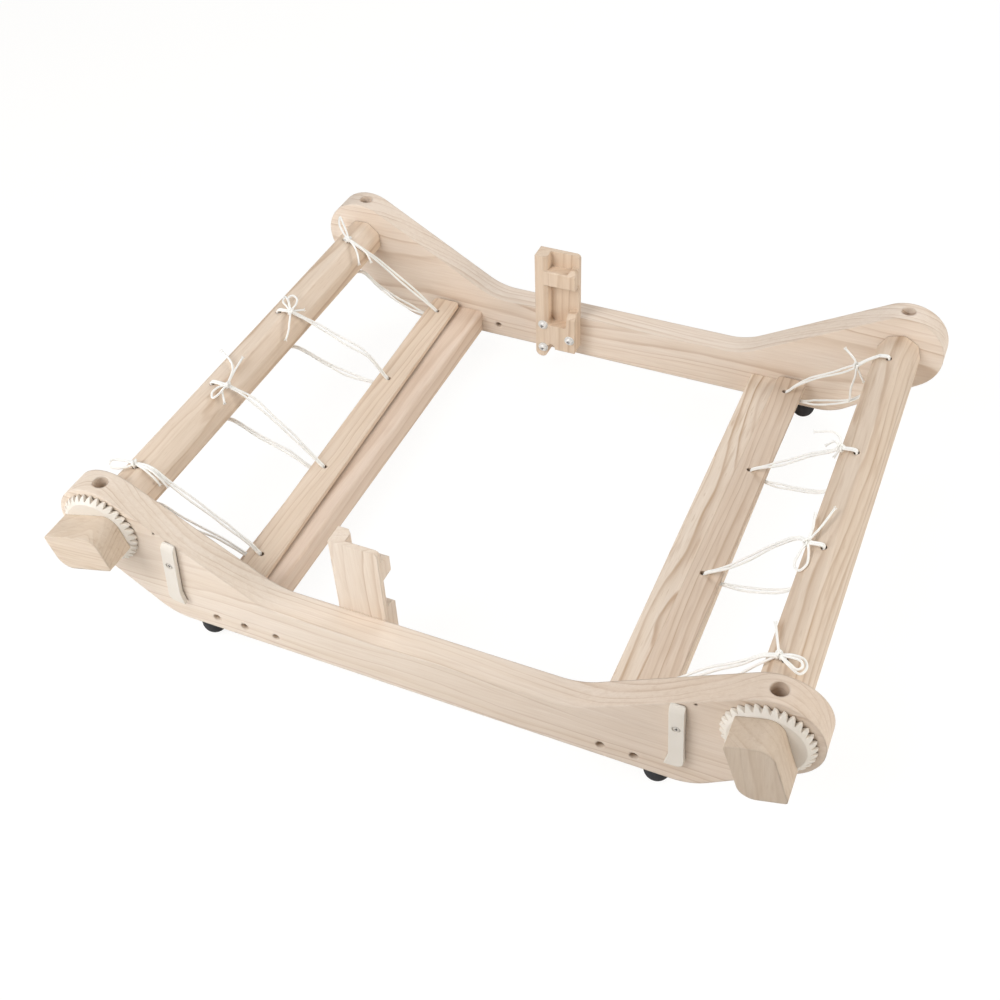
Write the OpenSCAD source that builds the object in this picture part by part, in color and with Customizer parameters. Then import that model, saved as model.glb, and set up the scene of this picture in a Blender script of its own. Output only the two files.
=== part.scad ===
// Tabletop rigid heddle loom: two shaped side boards joined by two flat rails, a warp roller and a
// cloth roller with ratchet, pawl and turning handle, two heddle blocks and two warp sticks on ties.
// The weaver sits at -X, so the front is -X and the right-hand side is -Y.
// The origin is on the table, under the middle of the whole loom.

/* [Frame] */
// Clear width between the two side boards
inner_w = 430; // [300:1:800]
// Thickness of a side board
side_t = 25; // [22:0.5:32]
// Height of the straight bar of a side board
bar_h = 45; // [40:1:60]
// Distance from the middle of the loom to the centre of a head's round end
head_x = 277; // [262:1:340]
// Height of the centre of a head's round end above the bar's lower edge
head_z = 86; // [80:1:100]
// Radius of a head's round end
head_r = 38; // [34:0.5:44]
// Half length of the bar's straight lower edge
belly_half = 226; // [212:1:238]
// Slope of the upper edge from the bar up to the head, in degrees
head_slope = 30; // [26:1:36]
// Radius of the hollow where the slope meets the bar
slope_fillet_r = 60; // [30:1:90]
// Radius of the round where the lower edge turns up to the head
belly_fillet_r = 45; // [20:1:60]
// Radius of the small round on the long edges of the rails
edge_r = 2.5; // [1:0.5:4]

/* [Rails] */
// Distance from the middle of the loom to the middle of a rail
rail_x = 168.5; // [160:0.5:175]
// Width of a rail
rail_w = 48.5; // [44:0.5:54]
// Thickness of a rail
rail_t = 25; // [22:0.5:30]
// Distance between the two screws at a rail's end
rail_screw_pitch = 26.6; // [22:0.2:32]
// Height of the rail screws above the bar's lower edge
low_hole_z = 12.5; // [11:0.5:15]

/* [Holes in the side boards] */
// Diameter of the peg hole in the top of each head
peg_hole_d = 13; // [8:0.5:15]
// Depth of the peg hole
peg_hole_depth = 23; // [15:1:26]
// Distance from the middle of the loom to the spare hole through each side board
spare_hole_x = 125.5; // [100:0.5:135]
// Diameter of the spare hole
spare_hole_d = 6.5; // [5:0.5:8]
// Diameter of the small pilot hole beside each pawl
pilot_hole_d = 2.5; // [2:0.1:4]
// Depth of that pilot hole
pilot_hole_depth = 9; // [5:1:15]

/* [Rollers] */
// Distance from the middle of the loom to a roller's axis
roller_x = 275.5; // [260:0.5:338]
// Distance across a roller's planed flats
roller_flat_w = 37; // [32:0.5:42]
// Diameter over a roller's rounded corners
roller_d = 39; // [34:0.5:44]
// Diameter of a roller's journals
journal_d = 20; // [16:0.5:24]
// Length of the far journal in its blind hole
far_journal_l = 17; // [12:0.5:19]
// Gap between a roller's shoulder and the board
shoulder_gap = 0.4; // [0.3:0.1:1]
// Radial clearance of a journal in its hole
journal_clearance = 0.08; // [0.04:0.01:0.1]
// Turn of the front roller, its tie holes being upright at 0, in degrees
front_turn = 2; // [-30:1:30]
// Turn of the back roller, its tie holes being upright at 0, in degrees
back_turn = 15; // [-30:1:30]

/* [Ratchets] */
// Number of teeth
teeth = 32; // [24:4:48]
// Diameter over the teeth
ratchet_d = 68; // [64:0.5:76]
// Depth of a tooth
tooth_depth = 4; // [2.5:0.1:5]
// Share of a tooth's pitch that its tip takes
tooth_tip_share = 0.18; // [0.1:0.02:0.3]
// Share of a tooth's pitch that its root takes
tooth_root_share = 0.84; // [0.7:0.02:0.9]
// Width of the cone that a ratchet's outer face falls back over, out to the tips
tooth_slope_w = 6; // [3:0.5:8]
// Thickness of a ratchet wheel
ratchet_t = 6; // [4:0.5:8]
// Gap between a ratchet wheel and the board
ratchet_gap = 0.5; // [0.3:0.1:1.5]

/* [Handles] */
// Length of a handle's long side
handle_w = 53.5; // [46:0.5:60]
// Length of a handle's short side
handle_h = 34; // [30:0.5:40]
// Thickness of a handle along the roller's axis
handle_t = 27; // [22:0.5:34]
// Radius of a handle's two round corners
handle_round_r = 12; // [6:0.5:15]
// Radius of a handle's two crisp corners
handle_crisp_r = 2.5; // [1:0.5:5]
// Slope of the front handle's long side, in degrees
front_handle_angle = 17; // [-90:1:90]
// Slope of the back handle's long side, in degrees
back_handle_angle = -71.5; // [-90:0.5:90]

/* [Pawls] */
// Distance from the middle of the loom to a pawl's pivot
pawl_x = 212.5; // [210:0.5:216]
// Height of a pawl's pivot above the bar's lower edge
pawl_z = 67.5; // [64:0.5:68]
// Width of a pawl's strip
pawl_w = 11.5; // [10:0.5:14]
// Thickness of a pawl
pawl_t = 4; // [3:0.25:5]
// Length of a pawl below its pivot
pawl_lower = 43.5; // [42:0.5:46]
// Length of a pawl above its pivot
pawl_upper = 24; // [20:0.5:26]
// How far a pawl's nose stands out beside the strip
nose_out = 3.5; // [2:0.25:6]
// Height over which the nose widens
nose_l = 12; // [8:0.5:16]
// Radius of the round corner of a pawl's foot
pawl_foot_r = 6; // [3:0.5:8]
// Radius of the corners at a pawl's top
pawl_top_r = 2; // [1:0.25:4]
// Lean of the front pawl as it hangs, its foot away from the loom's middle, in degrees
front_pawl_lean = 6; // [0:0.5:10]
// Lean of the back pawl as it hangs, in degrees
back_pawl_lean = 3; // [0:0.5:10]
// Gap between a pawl and the board
pawl_gap = 0.7; // [0.4:0.1:1.5]
// Height of the curl at a pawl's top
curl_l = 7; // [5:0.5:9]
// Diameter of a pawl screw's head
pawl_head_d = 6; // [5:0.5:8]
// Height of a pawl screw's head
pawl_head_h = 1.7; // [1.5:0.1:2.5]
// Radial clearance of a pawl on its screw
pawl_clearance = 0.08; // [0.05:0.01:0.1]

/* [Heddle blocks] */
// Distance from the middle of the loom to a heddle block's middle, towards the weaver
block_x = 55; // [50:0.5:70]
// Width of a heddle block
block_w = 42; // [38:0.5:50]
// Height of a heddle block's top above the bar's lower edge
block_top = 120.5; // [112:0.5:130]
// Depth of a heddle block from the board to its front face
block_d = 17; // [14:0.5:22]
// Thickness of the back left behind the heddle slots
block_back = 4.5; // [3:0.5:6]
// Width of the tall wall at the weaver's side of a heddle block
wall_w = 12.5; // [10:0.5:16]
// Width of the short post at the other side
post_w = 9; // [7:0.5:12]
// Height of the short post
post_top = 57; // [50:0.5:64]
// Height of the floor of the neutral slot
slot_floor = 40; // [34:0.5:46]
// Height of the shelf's underside
shelf_bottom = 88; // [80:0.5:92]
// Height of the shelf's top, where the heddle stands when raised
shelf_top = 104; // [98:0.5:110]
// Height of the block's underside beside its leg
block_foot = 11.5; // [8:0.5:16]
// Radius of the slot's inner corners
slot_r = 4; // [2:0.5:6]
// Radius of the knob at the shelf's open end
knob_r = 4; // [2:0.5:6]
// Height of the bevel on the front edges of the post and the shelf
front_bevel = 5; // [2:0.5:8]
// Width of the bevel on the wall's front edge beside the slots
wall_bevel = 3.5; // [1:0.5:5]
// Width of the arched notch beside the leg
arch_w = 8; // [6:0.5:10]

/* [Warp sticks] */
// Width of a warp stick
stick_w = 27.5; // [22:0.5:34]
// Thickness of a warp stick
stick_t = 4.5; // [3:0.5:8]
// Gap between a warp stick's near end and the right-hand board
stick_near_gap = 12; // [4:0.5:30]
// Gap between a warp stick's far end and the left-hand board
stick_far_gap = 3; // [1.5:0.5:20]
// Radius of a warp stick's corners
stick_corner_r = 4; // [2:0.5:8]
// Distance from the middle of the loom to the front stick's middle
front_stick_x = 176.5; // [174:0.5:180]
// Distance from the middle of the loom to the back stick's middle
back_stick_x = 182; // [176:0.5:184]
// Skew of the front stick as it lies, in degrees
front_stick_skew = 1.6; // [0:0.1:2]
// Skew of the back stick as it lies, in degrees
back_stick_skew = -0.8; // [-2:0.1:0]
// Distance of a stick's row of holes from its middle line
hole_offset = 2; // [0:0.5:4]

/* [Ties] */
// Diameter of the cotton cord
cord_d = 2; // [1.5:0.1:2.4]
// Diameter of the tie holes in the rollers and the sticks
tie_hole_d = 5; // [4:0.5:7]

/* [Feet] */
// Distance from the middle of the loom to a foot
foot_x = 197; // [190:0.5:204]
// Diameter of a rubber foot
foot_d = 21.5; // [18:0.5:24]
// Height of a rubber foot
foot_h = 19; // [15:0.5:24]
// Diameter of the flat that a foot stands on
foot_flat_d = 12; // [10:0.5:15]

/* [Screws] */
// Diameter of the screws' smooth shanks
screw_d = 4; // [3:0.25:5]
// Diameter of the screws' heads
screw_head_d = 7.6; // [6.5:0.1:9]
// Height of the screws' heads
screw_head_h = 2.6; // [2:0.1:3.5]
// Radial clearance of a screw in a plain hole
screw_clearance = 0.05; // [0.02:0.01:0.1]
// Diameter of a heddle block screw's washer
washer_d = 10; // [9:0.5:12]
// Thickness of that washer
washer_t = 1; // [0.5:0.1:1.5]
// Diameter of the hanger bolt that joins a handle to its roller
hanger_d = 6; // [5:0.5:8]

/* [Hidden] */
$fn = 96;

pine = "#e4d0b2";
pale_pine = "#ead9be";
nylon = "#f3efe6";
cotton = "#faf8f2";
rubber = "#26262a";
steel = "#b9bcc0";

inner_half = inner_w / 2;
outer_half = inner_half + side_t;
board_mid = inner_half + side_t / 2;

// The handles stand out on one side only, so the middle of the whole loom is not the middle of the frame
handle_reach = ratchet_gap + ratchet_t + handle_t;
frame_shift = handle_reach / 2;

// How far a cut runs past the face that it opens, and a joined shape into its neighbour
past = 1;

// A round is a hair fuller than its straight edges ask, so that it crosses them and doesn't only touch
hair = 0.02;

// Where a head's outline meets its two straight edges, in the board's own plane
tangent_r = head_r - hair;
belly_reach = norm([head_x - belly_half, head_z]);
belly_rise = atan2(head_z, head_x - belly_half) - asin(tangent_r / belly_reach);
belly_len = sqrt(belly_reach * belly_reach - tangent_r * tangent_r);
low_tangent = [belly_half + belly_len * cos(belly_rise), belly_len * sin(belly_rise)];
high_tangent = [head_x - tangent_r * sin(head_slope), head_z + tangent_r * cos(head_slope)];
slope_start = high_tangent[0] - (high_tangent[1] - bar_h) / tan(head_slope);
slope_fillet_len = slope_fillet_r * tan(head_slope / 2);
belly_fillet_len = belly_fillet_r * tan(belly_rise / 2);

journal_hole_d = journal_d + 2 * journal_clearance;
far_hole_depth = far_journal_l + 1;
roller_l = inner_w - 2 * shoulder_gap;
handle_face = outer_half + ratchet_gap + ratchet_t;

rail_screw_xs = [rail_x - rail_screw_pitch / 2, rail_x + rail_screw_pitch / 2];
rail_screw_l = 55;
rail_screw_sink = 10;
sunk_head_d = 7;
sunk_hole_d = 7.4;
screw_hole_d = screw_d + 2 * screw_clearance;

// Heights of the sticks on their ties, above the bar's lower edge
cord_room = 0.1;
stick_bottom = rail_t + cord_d + 2 * cord_room;
stick_top = stick_bottom + stick_t;
stick_l = inner_w - stick_near_gap - stick_far_gap;
stick_shift = (stick_near_gap - stick_far_gap) / 2;

// Places of the tie holes along the rollers and the sticks, from the middle of the loom
roller_hole_ys = inner_half * [0.8326, 0.214, -0.3209, -0.8651];
front_stick_hole_ys = inner_half * [0.8884, 0.3395, -0.2884, -0.8279];
back_stick_hole_ys = inner_half * [0.8884, 0.3395, -0.2884, -0.8651];

pawl_screw_l = 16;
block_screw_l = 15;
foot_screw_l = 14;
hanger_in_roller = 30;
hanger_in_handle = 17;
ratchet_screw_r = 19;
ratchet_screw_d = 3;
ratchet_screw_l = 14;

// A tooth rises over this share of its pitch, and halfway down its back it has lost this share
tooth_rise_share = 0.1;
tooth_back_share = 0.34;
// What is left of a tooth's thickness at its tip, and how fast the cone widens towards the board
tooth_rim = 2;
tooth_slope = tooth_slope_w / (ratchet_t - tooth_rim);

// A tooth space of each wheel faces its pawl's nose when the pawl is laid over
pawl_reach = norm([pawl_w / 2 + nose_out, pawl_lower]);
axle_span = norm([roller_x - pawl_x, head_z - pawl_z]);
nose_depth = 1.5;
// The nose bears on a tooth's steep flank, so it lies this share of the pitch past the space's middle
nose_room = 0.05;
nose_orbit = ratchet_d / 2 - nose_depth;
nose_cos = (nose_orbit * nose_orbit + axle_span * axle_span - pawl_reach * pawl_reach)
  / (2 * nose_orbit * axle_span);
axle_fall = atan2(head_z - pawl_z, roller_x - pawl_x);
mesh_angle = acos(nose_cos) - axle_fall;

// Two screws hold the wall's side of a heddle block and one the post's side
wall_screw_x = 8 - block_w / 2;
post_screw_x = block_w / 2 - 5.6;
block_screw_places = [[wall_screw_x, 40], [wall_screw_x, 12], [post_screw_x, 27]];
arch_rise = 5.5;

// From a pawl's pivot to its pilot hole: away from the loom's middle, and up
pilot_offset = [11, 28.5];

// The cross recess in a screw's head, and how much of the head's width its flat top keeps
recess_w = 0.9;
recess_depth = 1.2;
head_top_share = 0.62;

// Room between a pawl and its screw's head
pawl_head_gap = 0.3;
// A countersink is this much wider than the head in it
sink_room = 0.05;
// A washer's hole is this much wider than the screw
washer_room = 0.15;
// The recess in a foot is this much wider than the screw's head
foot_room = 0.2;

// Height of a tie over the stick, and its sag halfway above and below
tie_rise = 1.5;
upper_sag = 4;
lower_sag = 5;

// Stands everything on its feet, with the middle of the whole loom over the origin
module placed() {
  translate([0, frame_shift, foot_h]) children();
}

// Turns a flat outline in x and z into a slab that runs along y from near_y to far_y
module slab(near_y, far_y) {
  translate([0, far_y, 0]) rotate([90, 0, 0]) linear_extrude(far_y - near_y) children();
}

// Draws the same thing on the weaver's side at s = -1 and on the far side at s = 1
module towards(s) {
  if (s < 0) mirror([1, 0, 0]) children();
  else children();
}

// Draws the same thing on the right-hand side at s = -1 and on the left-hand side at s = 1
module beside(s) {
  if (s < 0) mirror([0, 1, 0]) children();
  else children();
}

module rounded_rect(w, l, r) {
  square([w - 2 * r, l], center = true);
  square([w, l - 2 * r], center = true);
  for (x = [-1, 1])
    for (y = [-1, 1])
      translate([x * (w / 2 - r), y * (l / 2 - r)]) circle(r);
}

// A pan head screw that points along -y from its seat at the origin
module pan_screw(shank_l, d = screw_d, head_d = screw_head_d, head_h = screw_head_h) {
  rotate([90, 0, 0]) cylinder(d = d, h = shank_l);
  rotate([-90, 0, 0]) difference() {
    union() {
      cylinder(d = head_d, h = head_h / 2);
      translate([0, 0, head_h / 2])
        cylinder(d1 = head_d, d2 = head_d * head_top_share, h = head_h / 2);
    }
    for (a = [0, 90])
      rotate([0, 0, a])
        translate([-head_d / 4, -recess_w / 2, head_h - recess_depth])
          cube([head_d / 2, recess_w, recess_depth + past]);
  }
}

// One half of a side board's outline, with the head on the +x side
module half_outline() {
  difference() {
    union() {
      polygon([
        [0, 0],
        [belly_half, 0],
        low_tangent,
        [head_x, head_z],
        high_tangent,
        [slope_start, bar_h],
        [0, bar_h]
      ]);
      translate([head_x, head_z]) circle(head_r);
      difference() {
        polygon([
          [slope_start - slope_fillet_len, bar_h],
          [slope_start, bar_h - past],
          [slope_start + slope_fillet_len * cos(head_slope),
            bar_h + slope_fillet_len * sin(head_slope)]
        ]);
        translate([slope_start - slope_fillet_len, bar_h + slope_fillet_r])
          circle(slope_fillet_r + hair, $fn = 180);
      }
    }
    difference() {
      polygon([
        [belly_half - belly_fillet_len, 0],
        [belly_half, -past],
        [belly_half + belly_fillet_len, -past],
        [belly_half + belly_fillet_len * cos(belly_rise), belly_fillet_len * sin(belly_rise)]
      ]);
      translate([belly_half - belly_fillet_len, belly_fillet_r])
        circle(belly_fillet_r + hair, $fn = 180);
    }
  }
}

// A side board on the left-hand side, with what both boards share
module side_board() {
  difference() {
    slab(inner_half, outer_half) {
      half_outline();
      mirror([1, 0]) half_outline();
    }
    for (s = [-1, 1]) towards(s) {
      translate([roller_x, board_mid, head_z + head_r - peg_hole_depth])
        cylinder(d = peg_hole_d, h = peg_hole_depth + past);
      for (x = rail_screw_xs)
        translate([x, outer_half + past, low_hole_z]) rotate([90, 0, 0]) {
          cylinder(d = screw_hole_d, h = side_t + 2 * past);
          cylinder(d = sunk_hole_d, h = rail_screw_sink + past);
        }
      translate([foot_x, board_mid, -past]) cylinder(d = screw_hole_d, h = foot_screw_l + 2 * past);
    }
    translate([-spare_hole_x, outer_half + past, low_hole_z])
      rotate([90, 0, 0]) cylinder(d = spare_hole_d, h = side_t + 2 * past);
    for (p = block_screw_places)
      translate([p[0] - block_x, inner_half - past, p[1]])
        rotate([-90, 0, 0]) cylinder(d = screw_hole_d, h = block_screw_l + 2 * past);
  }
}

// The far board takes the plain journals in blind holes
module left_side() {
  color(pine) placed() difference() {
    side_board();
    for (s = [-1, 1])
      translate([s * roller_x, inner_half - past, head_z])
        rotate([-90, 0, 0]) cylinder(d = journal_hole_d, h = far_hole_depth + past);
  }
}

// The near board lets the long journals through and carries the pawls
module right_side() {
  color(pine) placed() difference() {
    beside(-1) side_board();
    for (s = [-1, 1]) towards(s) {
      translate([roller_x, past - inner_half, head_z])
        rotate([90, 0, 0]) cylinder(d = journal_hole_d, h = side_t + 2 * past);
      translate([pawl_x, -past - outer_half, pawl_z])
        rotate([-90, 0, 0]) cylinder(d = screw_hole_d, h = pawl_screw_l + 2 * past);
      translate([pawl_x + pilot_offset[0], -past - outer_half, pawl_z + pilot_offset[1]])
        rotate([-90, 0, 0]) cylinder(d = pilot_hole_d, h = pilot_hole_depth + past);
    }
  }
}

module rail(s) {
  color(pine) placed() towards(s) difference() {
    translate([rail_x, 0, rail_t / 2])
      slab(-inner_half, inner_half) rounded_rect(rail_w, rail_t, edge_r);
    for (side = [-1, 1]) beside(side)
      for (x = rail_screw_xs)
        translate([x, inner_half + past, low_hole_z]) rotate([90, 0, 0])
          cylinder(d = screw_hole_d, h = rail_screw_l - side_t + rail_screw_sink + 2 * past);
  }
}

module front_rail() { rail(-1); }
module back_rail() { rail(1); }

module rail_screws() {
  color(steel) placed()
    for (s = [-1, 1], side = [-1, 1])
      towards(s) beside(side)
        for (x = rail_screw_xs)
          translate([x, outer_half - rail_screw_sink, low_hole_z])
            pan_screw(rail_screw_l, screw_d, sunk_head_d);
}

// The roller's own frame has its axis along y, its tie holes upright, and +x towards the loom's middle
module roller_body() {
  difference() {
    union() {
      slab(-roller_l / 2, roller_l / 2) intersection() {
        circle(d = roller_d);
        square(roller_flat_w, center = true);
        rotate(45) square(roller_flat_w, center = true);
      }
      translate([0, roller_l / 2 - past, 0])
        rotate([-90, 0, 0]) cylinder(d = journal_d, h = far_journal_l + shoulder_gap + past);
      translate([0, past - roller_l / 2, 0])
        rotate([90, 0, 0]) cylinder(d = journal_d, h = handle_face - roller_l / 2 + past);
    }
    for (y = roller_hole_ys)
      translate([0, y, -roller_d]) cylinder(d = tie_hole_d, h = 2 * roller_d);
    translate([0, -handle_face - past, 0])
      rotate([-90, 0, 0]) cylinder(d = hanger_d + 2 * screw_clearance, h = hanger_in_roller + 2 * past);
  }
}

// Puts a roller's parts on their axis; turn leans the tie holes away from the weaver
module on_axis(s, turn) {
  placed() translate([s * roller_x, 0, head_z]) rotate([0, turn, 0]) children();
}

module front_roller() { color(pine) on_axis(-1, -front_turn) roller_body(); }
module back_roller() { color(pine) on_axis(1, -back_turn) roller_body(); }

// One tooth's outline starts and ends at the root, and its tip lies on the wheel's outer circle.
// It rises steeply to the tip and falls away slowly behind it.
function tooth_points(i) = let (
  pitch = 360 / teeth,
  root_r = ratchet_d / 2 - tooth_depth,
  tip_r = ratchet_d / 2,
  half_root = pitch * tooth_root_share / 2,
  rise = pitch * tooth_rise_share - half_root,
  fall = rise + pitch * tooth_tip_share
) [
  for (p = [
    [-half_root, root_r],
    [rise, tip_r],
    [fall, tip_r],
    [(fall + half_root) / 2, tip_r - tooth_depth * tooth_back_share],
    [half_root, root_r]
  ])
    p[1] * [cos((i + 0.5) * pitch + p[0]), sin((i + 0.5) * pitch + p[0])]
];

// The two screws that hold a wheel to its handle start at the wheel's hidden face
module ratchet_screw_places() {
  for (side = [-1, 1])
    translate([side * ratchet_screw_r, -outer_half - ratchet_gap, 0]) children();
}

module front_ratchet() {
  color(nylon) on_axis(-1, 0) turned_ratchet(front_handle_angle);
}

module back_ratchet() {
  color(nylon) on_axis(1, 0) mirror([1, 0, 0]) turned_ratchet(180 - back_handle_angle);
}

// A ratchet wheel whose screws follow the handle's long side at the given slope, and whose teeth
// leave a tooth space at mesh_angle on its own +x side
module turned_ratchet(angle) {
  difference() {
    intersection() {
      slab(-handle_face, -outer_half - ratchet_gap)
        difference() {
          rotate(mesh_angle - nose_room * 360 / teeth)
            polygon([for (i = [0 : teeth - 1]) each tooth_points(i)]);
          circle(d = journal_d + 2 * screw_clearance);
        }
      // The cone that the teeth's outer faces lie on
      translate([0, -handle_face - past, 0]) rotate([-90, 0, 0]) cylinder(
        r1 = ratchet_d / 2 - tooth_slope * (ratchet_t - tooth_rim + past),
        r2 = ratchet_d / 2 + tooth_slope * (tooth_rim + past),
        h = ratchet_t + 2 * past
      );
    }
    rotate([0, -angle, 0]) ratchet_screw_places() ratchet_screw_hole();
  }
}

module ratchet_screw_hole() {
  translate([0, past, 0]) rotate([90, 0, 0])
    cylinder(d = ratchet_screw_d + 2 * screw_clearance, h = ratchet_screw_l + 2 * past);
  rotate([90, 0, 0]) cylinder(
    d1 = 2 * (ratchet_screw_d + sink_room),
    d2 = ratchet_screw_d + 2 * sink_room,
    h = ratchet_screw_d / 2
  );
}

module ratchet_screw() {
  rotate([90, 0, 0]) cylinder(d = ratchet_screw_d, h = ratchet_screw_l);
  rotate([90, 0, 0]) cylinder(d1 = 2 * ratchet_screw_d, d2 = ratchet_screw_d, h = ratchet_screw_d / 2);
}

module front_ratchet_screws() {
  color(steel) on_axis(-1, -front_handle_angle) ratchet_screw_places() ratchet_screw();
}

module back_ratchet_screws() {
  color(steel) on_axis(1, -back_handle_angle) ratchet_screw_places() ratchet_screw();
}

// What a round leaves outside it at the corner that it rounds, the corner being at the origin
module corner_waste(r) {
  translate([-r, -r]) difference() {
    square(r + past);
    circle(r);
  }
}

// A handle's end face: round corners at +x+z and -x-z, crisp ones at the other two
module handle_outline() {
  difference() {
    square([handle_w, handle_h], center = true);
    for (s = [-1, 1]) scale([s, s]) {
      translate([handle_w / 2, handle_h / 2]) corner_waste(handle_round_r);
      translate([-handle_w / 2, handle_h / 2]) scale([-1, 1]) corner_waste(handle_crisp_r);
    }
  }
}

module handle() {
  difference() {
    slab(-handle_face - handle_t, -handle_face) handle_outline();
    translate([0, past - handle_face, 0])
      rotate([90, 0, 0]) cylinder(d = hanger_d + 2 * screw_clearance, h = hanger_in_handle + 2 * past);
    ratchet_screw_places() ratchet_screw_hole();
  }
}

module front_handle() { color(pale_pine) on_axis(-1, -front_handle_angle) handle(); }

module back_handle() {
  color(pale_pine) on_axis(1, -back_handle_angle) mirror([0, 0, 1]) handle();
}

module hanger_bolt() {
  translate([0, -handle_face - hanger_in_handle, 0])
    rotate([-90, 0, 0]) cylinder(d = hanger_d, h = hanger_in_handle + hanger_in_roller);
}

module front_hanger_bolt() { color(steel) on_axis(-1, 0) hanger_bolt(); }
module back_hanger_bolt() { color(steel) on_axis(1, 0) hanger_bolt(); }

// A pawl's face as it hangs, with its nose towards the loom's middle at -x
module pawl_outline() {
  half = pawl_w / 2;
  difference() {
    union() {
      translate([-half, pawl_foot_r - pawl_lower])
        square([pawl_w, pawl_lower + pawl_upper - pawl_foot_r - pawl_top_r]);
      translate([-half, -pawl_lower]) square([pawl_w - pawl_foot_r, pawl_foot_r + past]);
      translate([half - pawl_foot_r, pawl_foot_r - pawl_lower]) circle(pawl_foot_r);
      polygon([
        [-half, nose_l - pawl_lower],
        [-half - nose_out, -pawl_lower],
        [past - half, -pawl_lower],
        [past - half, nose_l - pawl_lower]
      ]);
      translate([0, pawl_upper - 2 * pawl_top_r]) rounded_rect(pawl_w, 4 * pawl_top_r, pawl_top_r);
    }
    circle(d = screw_d + 2 * pawl_clearance);
  }
}

// The pawl's top curls in to the board, as a round on its outer face
module pawl() {
  outer = -outer_half - pawl_gap - pawl_t;
  difference() {
    slab(outer, outer + pawl_t) pawl_outline();
    slab(outer - past, outer + pawl_head_h + pawl_head_gap)
      circle(d = pawl_head_d + 2 * pawl_head_gap);
    translate([-pawl_w, outer - past, pawl_upper - curl_l])
      rotate([90, 0, 90]) linear_extrude(2 * pawl_w) difference() {
        square([pawl_t, curl_l + past]);
        translate([curl_l + past, 0]) circle(curl_l);
      }
  }
}

module on_pivot(s) {
  placed() towards(s) translate([pawl_x, 0, pawl_z]) children();
}

module front_pawl() { color(nylon) on_pivot(-1) rotate([0, -front_pawl_lean, 0]) pawl(); }
module back_pawl() { color(nylon) on_pivot(1) rotate([0, -back_pawl_lean, 0]) pawl(); }

module pawl_screw() {
  translate([0, -outer_half - pawl_gap - pawl_t + pawl_head_h, 0])
    mirror([0, 1, 0]) pan_screw(
      pawl_gap + pawl_t - pawl_head_h + pawl_screw_l, head_d = pawl_head_d, head_h = pawl_head_h
    );
}

module front_pawl_screw() { color(steel) on_pivot(-1) pawl_screw(); }
module back_pawl_screw() { color(steel) on_pivot(1) pawl_screw(); }

// The outline of a heddle block's back, its middle at x = 0
module block_outline() {
  half = block_w / 2;
  leg_r = wall_w / 2;
  translate([-half, leg_r]) square([wall_w, block_top - leg_r]);
  translate([leg_r - half, leg_r]) circle(leg_r);
  translate([-half, block_foot]) square([block_w, block_top - block_foot - slot_r]);
  translate([-half, block_top - slot_r - past]) square([block_w - slot_r, slot_r + past]);
  translate([half - slot_r, block_top - slot_r]) circle(slot_r);
}

// The neutral slot, open to the far side above the post
module neutral_slot() {
  left = wall_w - block_w / 2;
  right = block_w / 2 - post_w;
  translate([left, slot_floor + slot_r]) square([right - left, shelf_bottom - slot_floor - slot_r]);
  translate([left + slot_r, slot_floor]) square([right - left - 2 * slot_r, slot_r + past]);
  for (x = [left + slot_r, right - slot_r]) translate([x, slot_floor + slot_r]) circle(slot_r);
  translate([right - past, post_top]) square([post_w + 2 * past, shelf_bottom - post_top]);
}

// The space above the shelf, with a low knob left at the shelf's open end
module upper_slot() {
  left = wall_w - block_w / 2;
  difference() {
    translate([left, shelf_top]) square([block_w, block_top - shelf_top + past]);
    translate([block_w / 2 - knob_r, shelf_top]) circle(knob_r);
  }
}

module heddle_block() {
  arch_left = wall_w - block_w / 2;
  translate([-block_x, 0, 0]) difference() {
    slab(inner_half - block_d, inner_half) block_outline();
    slab(inner_half - block_d - past, inner_half - block_back) {
      neutral_slot();
      upper_slot();
    }
    slab(inner_half - block_d - past, inner_half + past) {
      translate([arch_left, block_foot - past]) square([arch_w, arch_rise + past - arch_w / 2]);
      translate([arch_left + arch_w / 2, block_foot + arch_rise - arch_w / 2]) circle(arch_w / 2);
    }
    // The wall's edge beside each slot is bevelled
    for (z = [slot_floor + slot_r, shelf_top])
      translate([arch_left, inner_half - block_d, z]) rotate([0, 0, 45])
        translate([-wall_bevel / sqrt(2), -wall_bevel / sqrt(2), 0])
          cube([sqrt(2) * wall_bevel, sqrt(2) * wall_bevel,
            z == shelf_top ? block_top - shelf_top + past : shelf_bottom - slot_floor - slot_r]);
    // The post's top and the knob fall away to the front
    for (top = [post_top, shelf_top + knob_r])
      translate([arch_left + hair, inner_half - block_d, top - front_bevel])
        rotate([45, 0, 0]) translate([0, -block_d / 2, 0]) cube([block_w, block_d, block_d]);
    for (p = block_screw_places)
      translate([p[0], inner_half + past, p[1]])
        rotate([90, 0, 0]) cylinder(d = screw_hole_d, h = block_d + 2 * past);
  }
}

module right_heddle_block() { color(pale_pine) placed() beside(-1) heddle_block(); }
module left_heddle_block() { color(pale_pine) placed() heddle_block(); }

// Places something at each heddle block screw's seat on the block's front face
module at_block_screws() {
  for (side = [-1, 1]) beside(side)
    for (p = block_screw_places)
      translate([p[0] - block_x, inner_half - block_d, p[1]]) children();
}

module block_screws() {
  color(steel) placed() at_block_screws()
    translate([0, -washer_t, 0]) mirror([0, 1, 0]) pan_screw(washer_t + block_d + block_screw_l);
}

module block_washers() {
  color(steel) placed() at_block_screws()
    rotate([90, 0, 0]) difference() {
      cylinder(d = washer_d, h = washer_t);
      translate([0, 0, -past]) cylinder(d = screw_d + 2 * washer_room, h = washer_t + 2 * past);
    }
}

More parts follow.
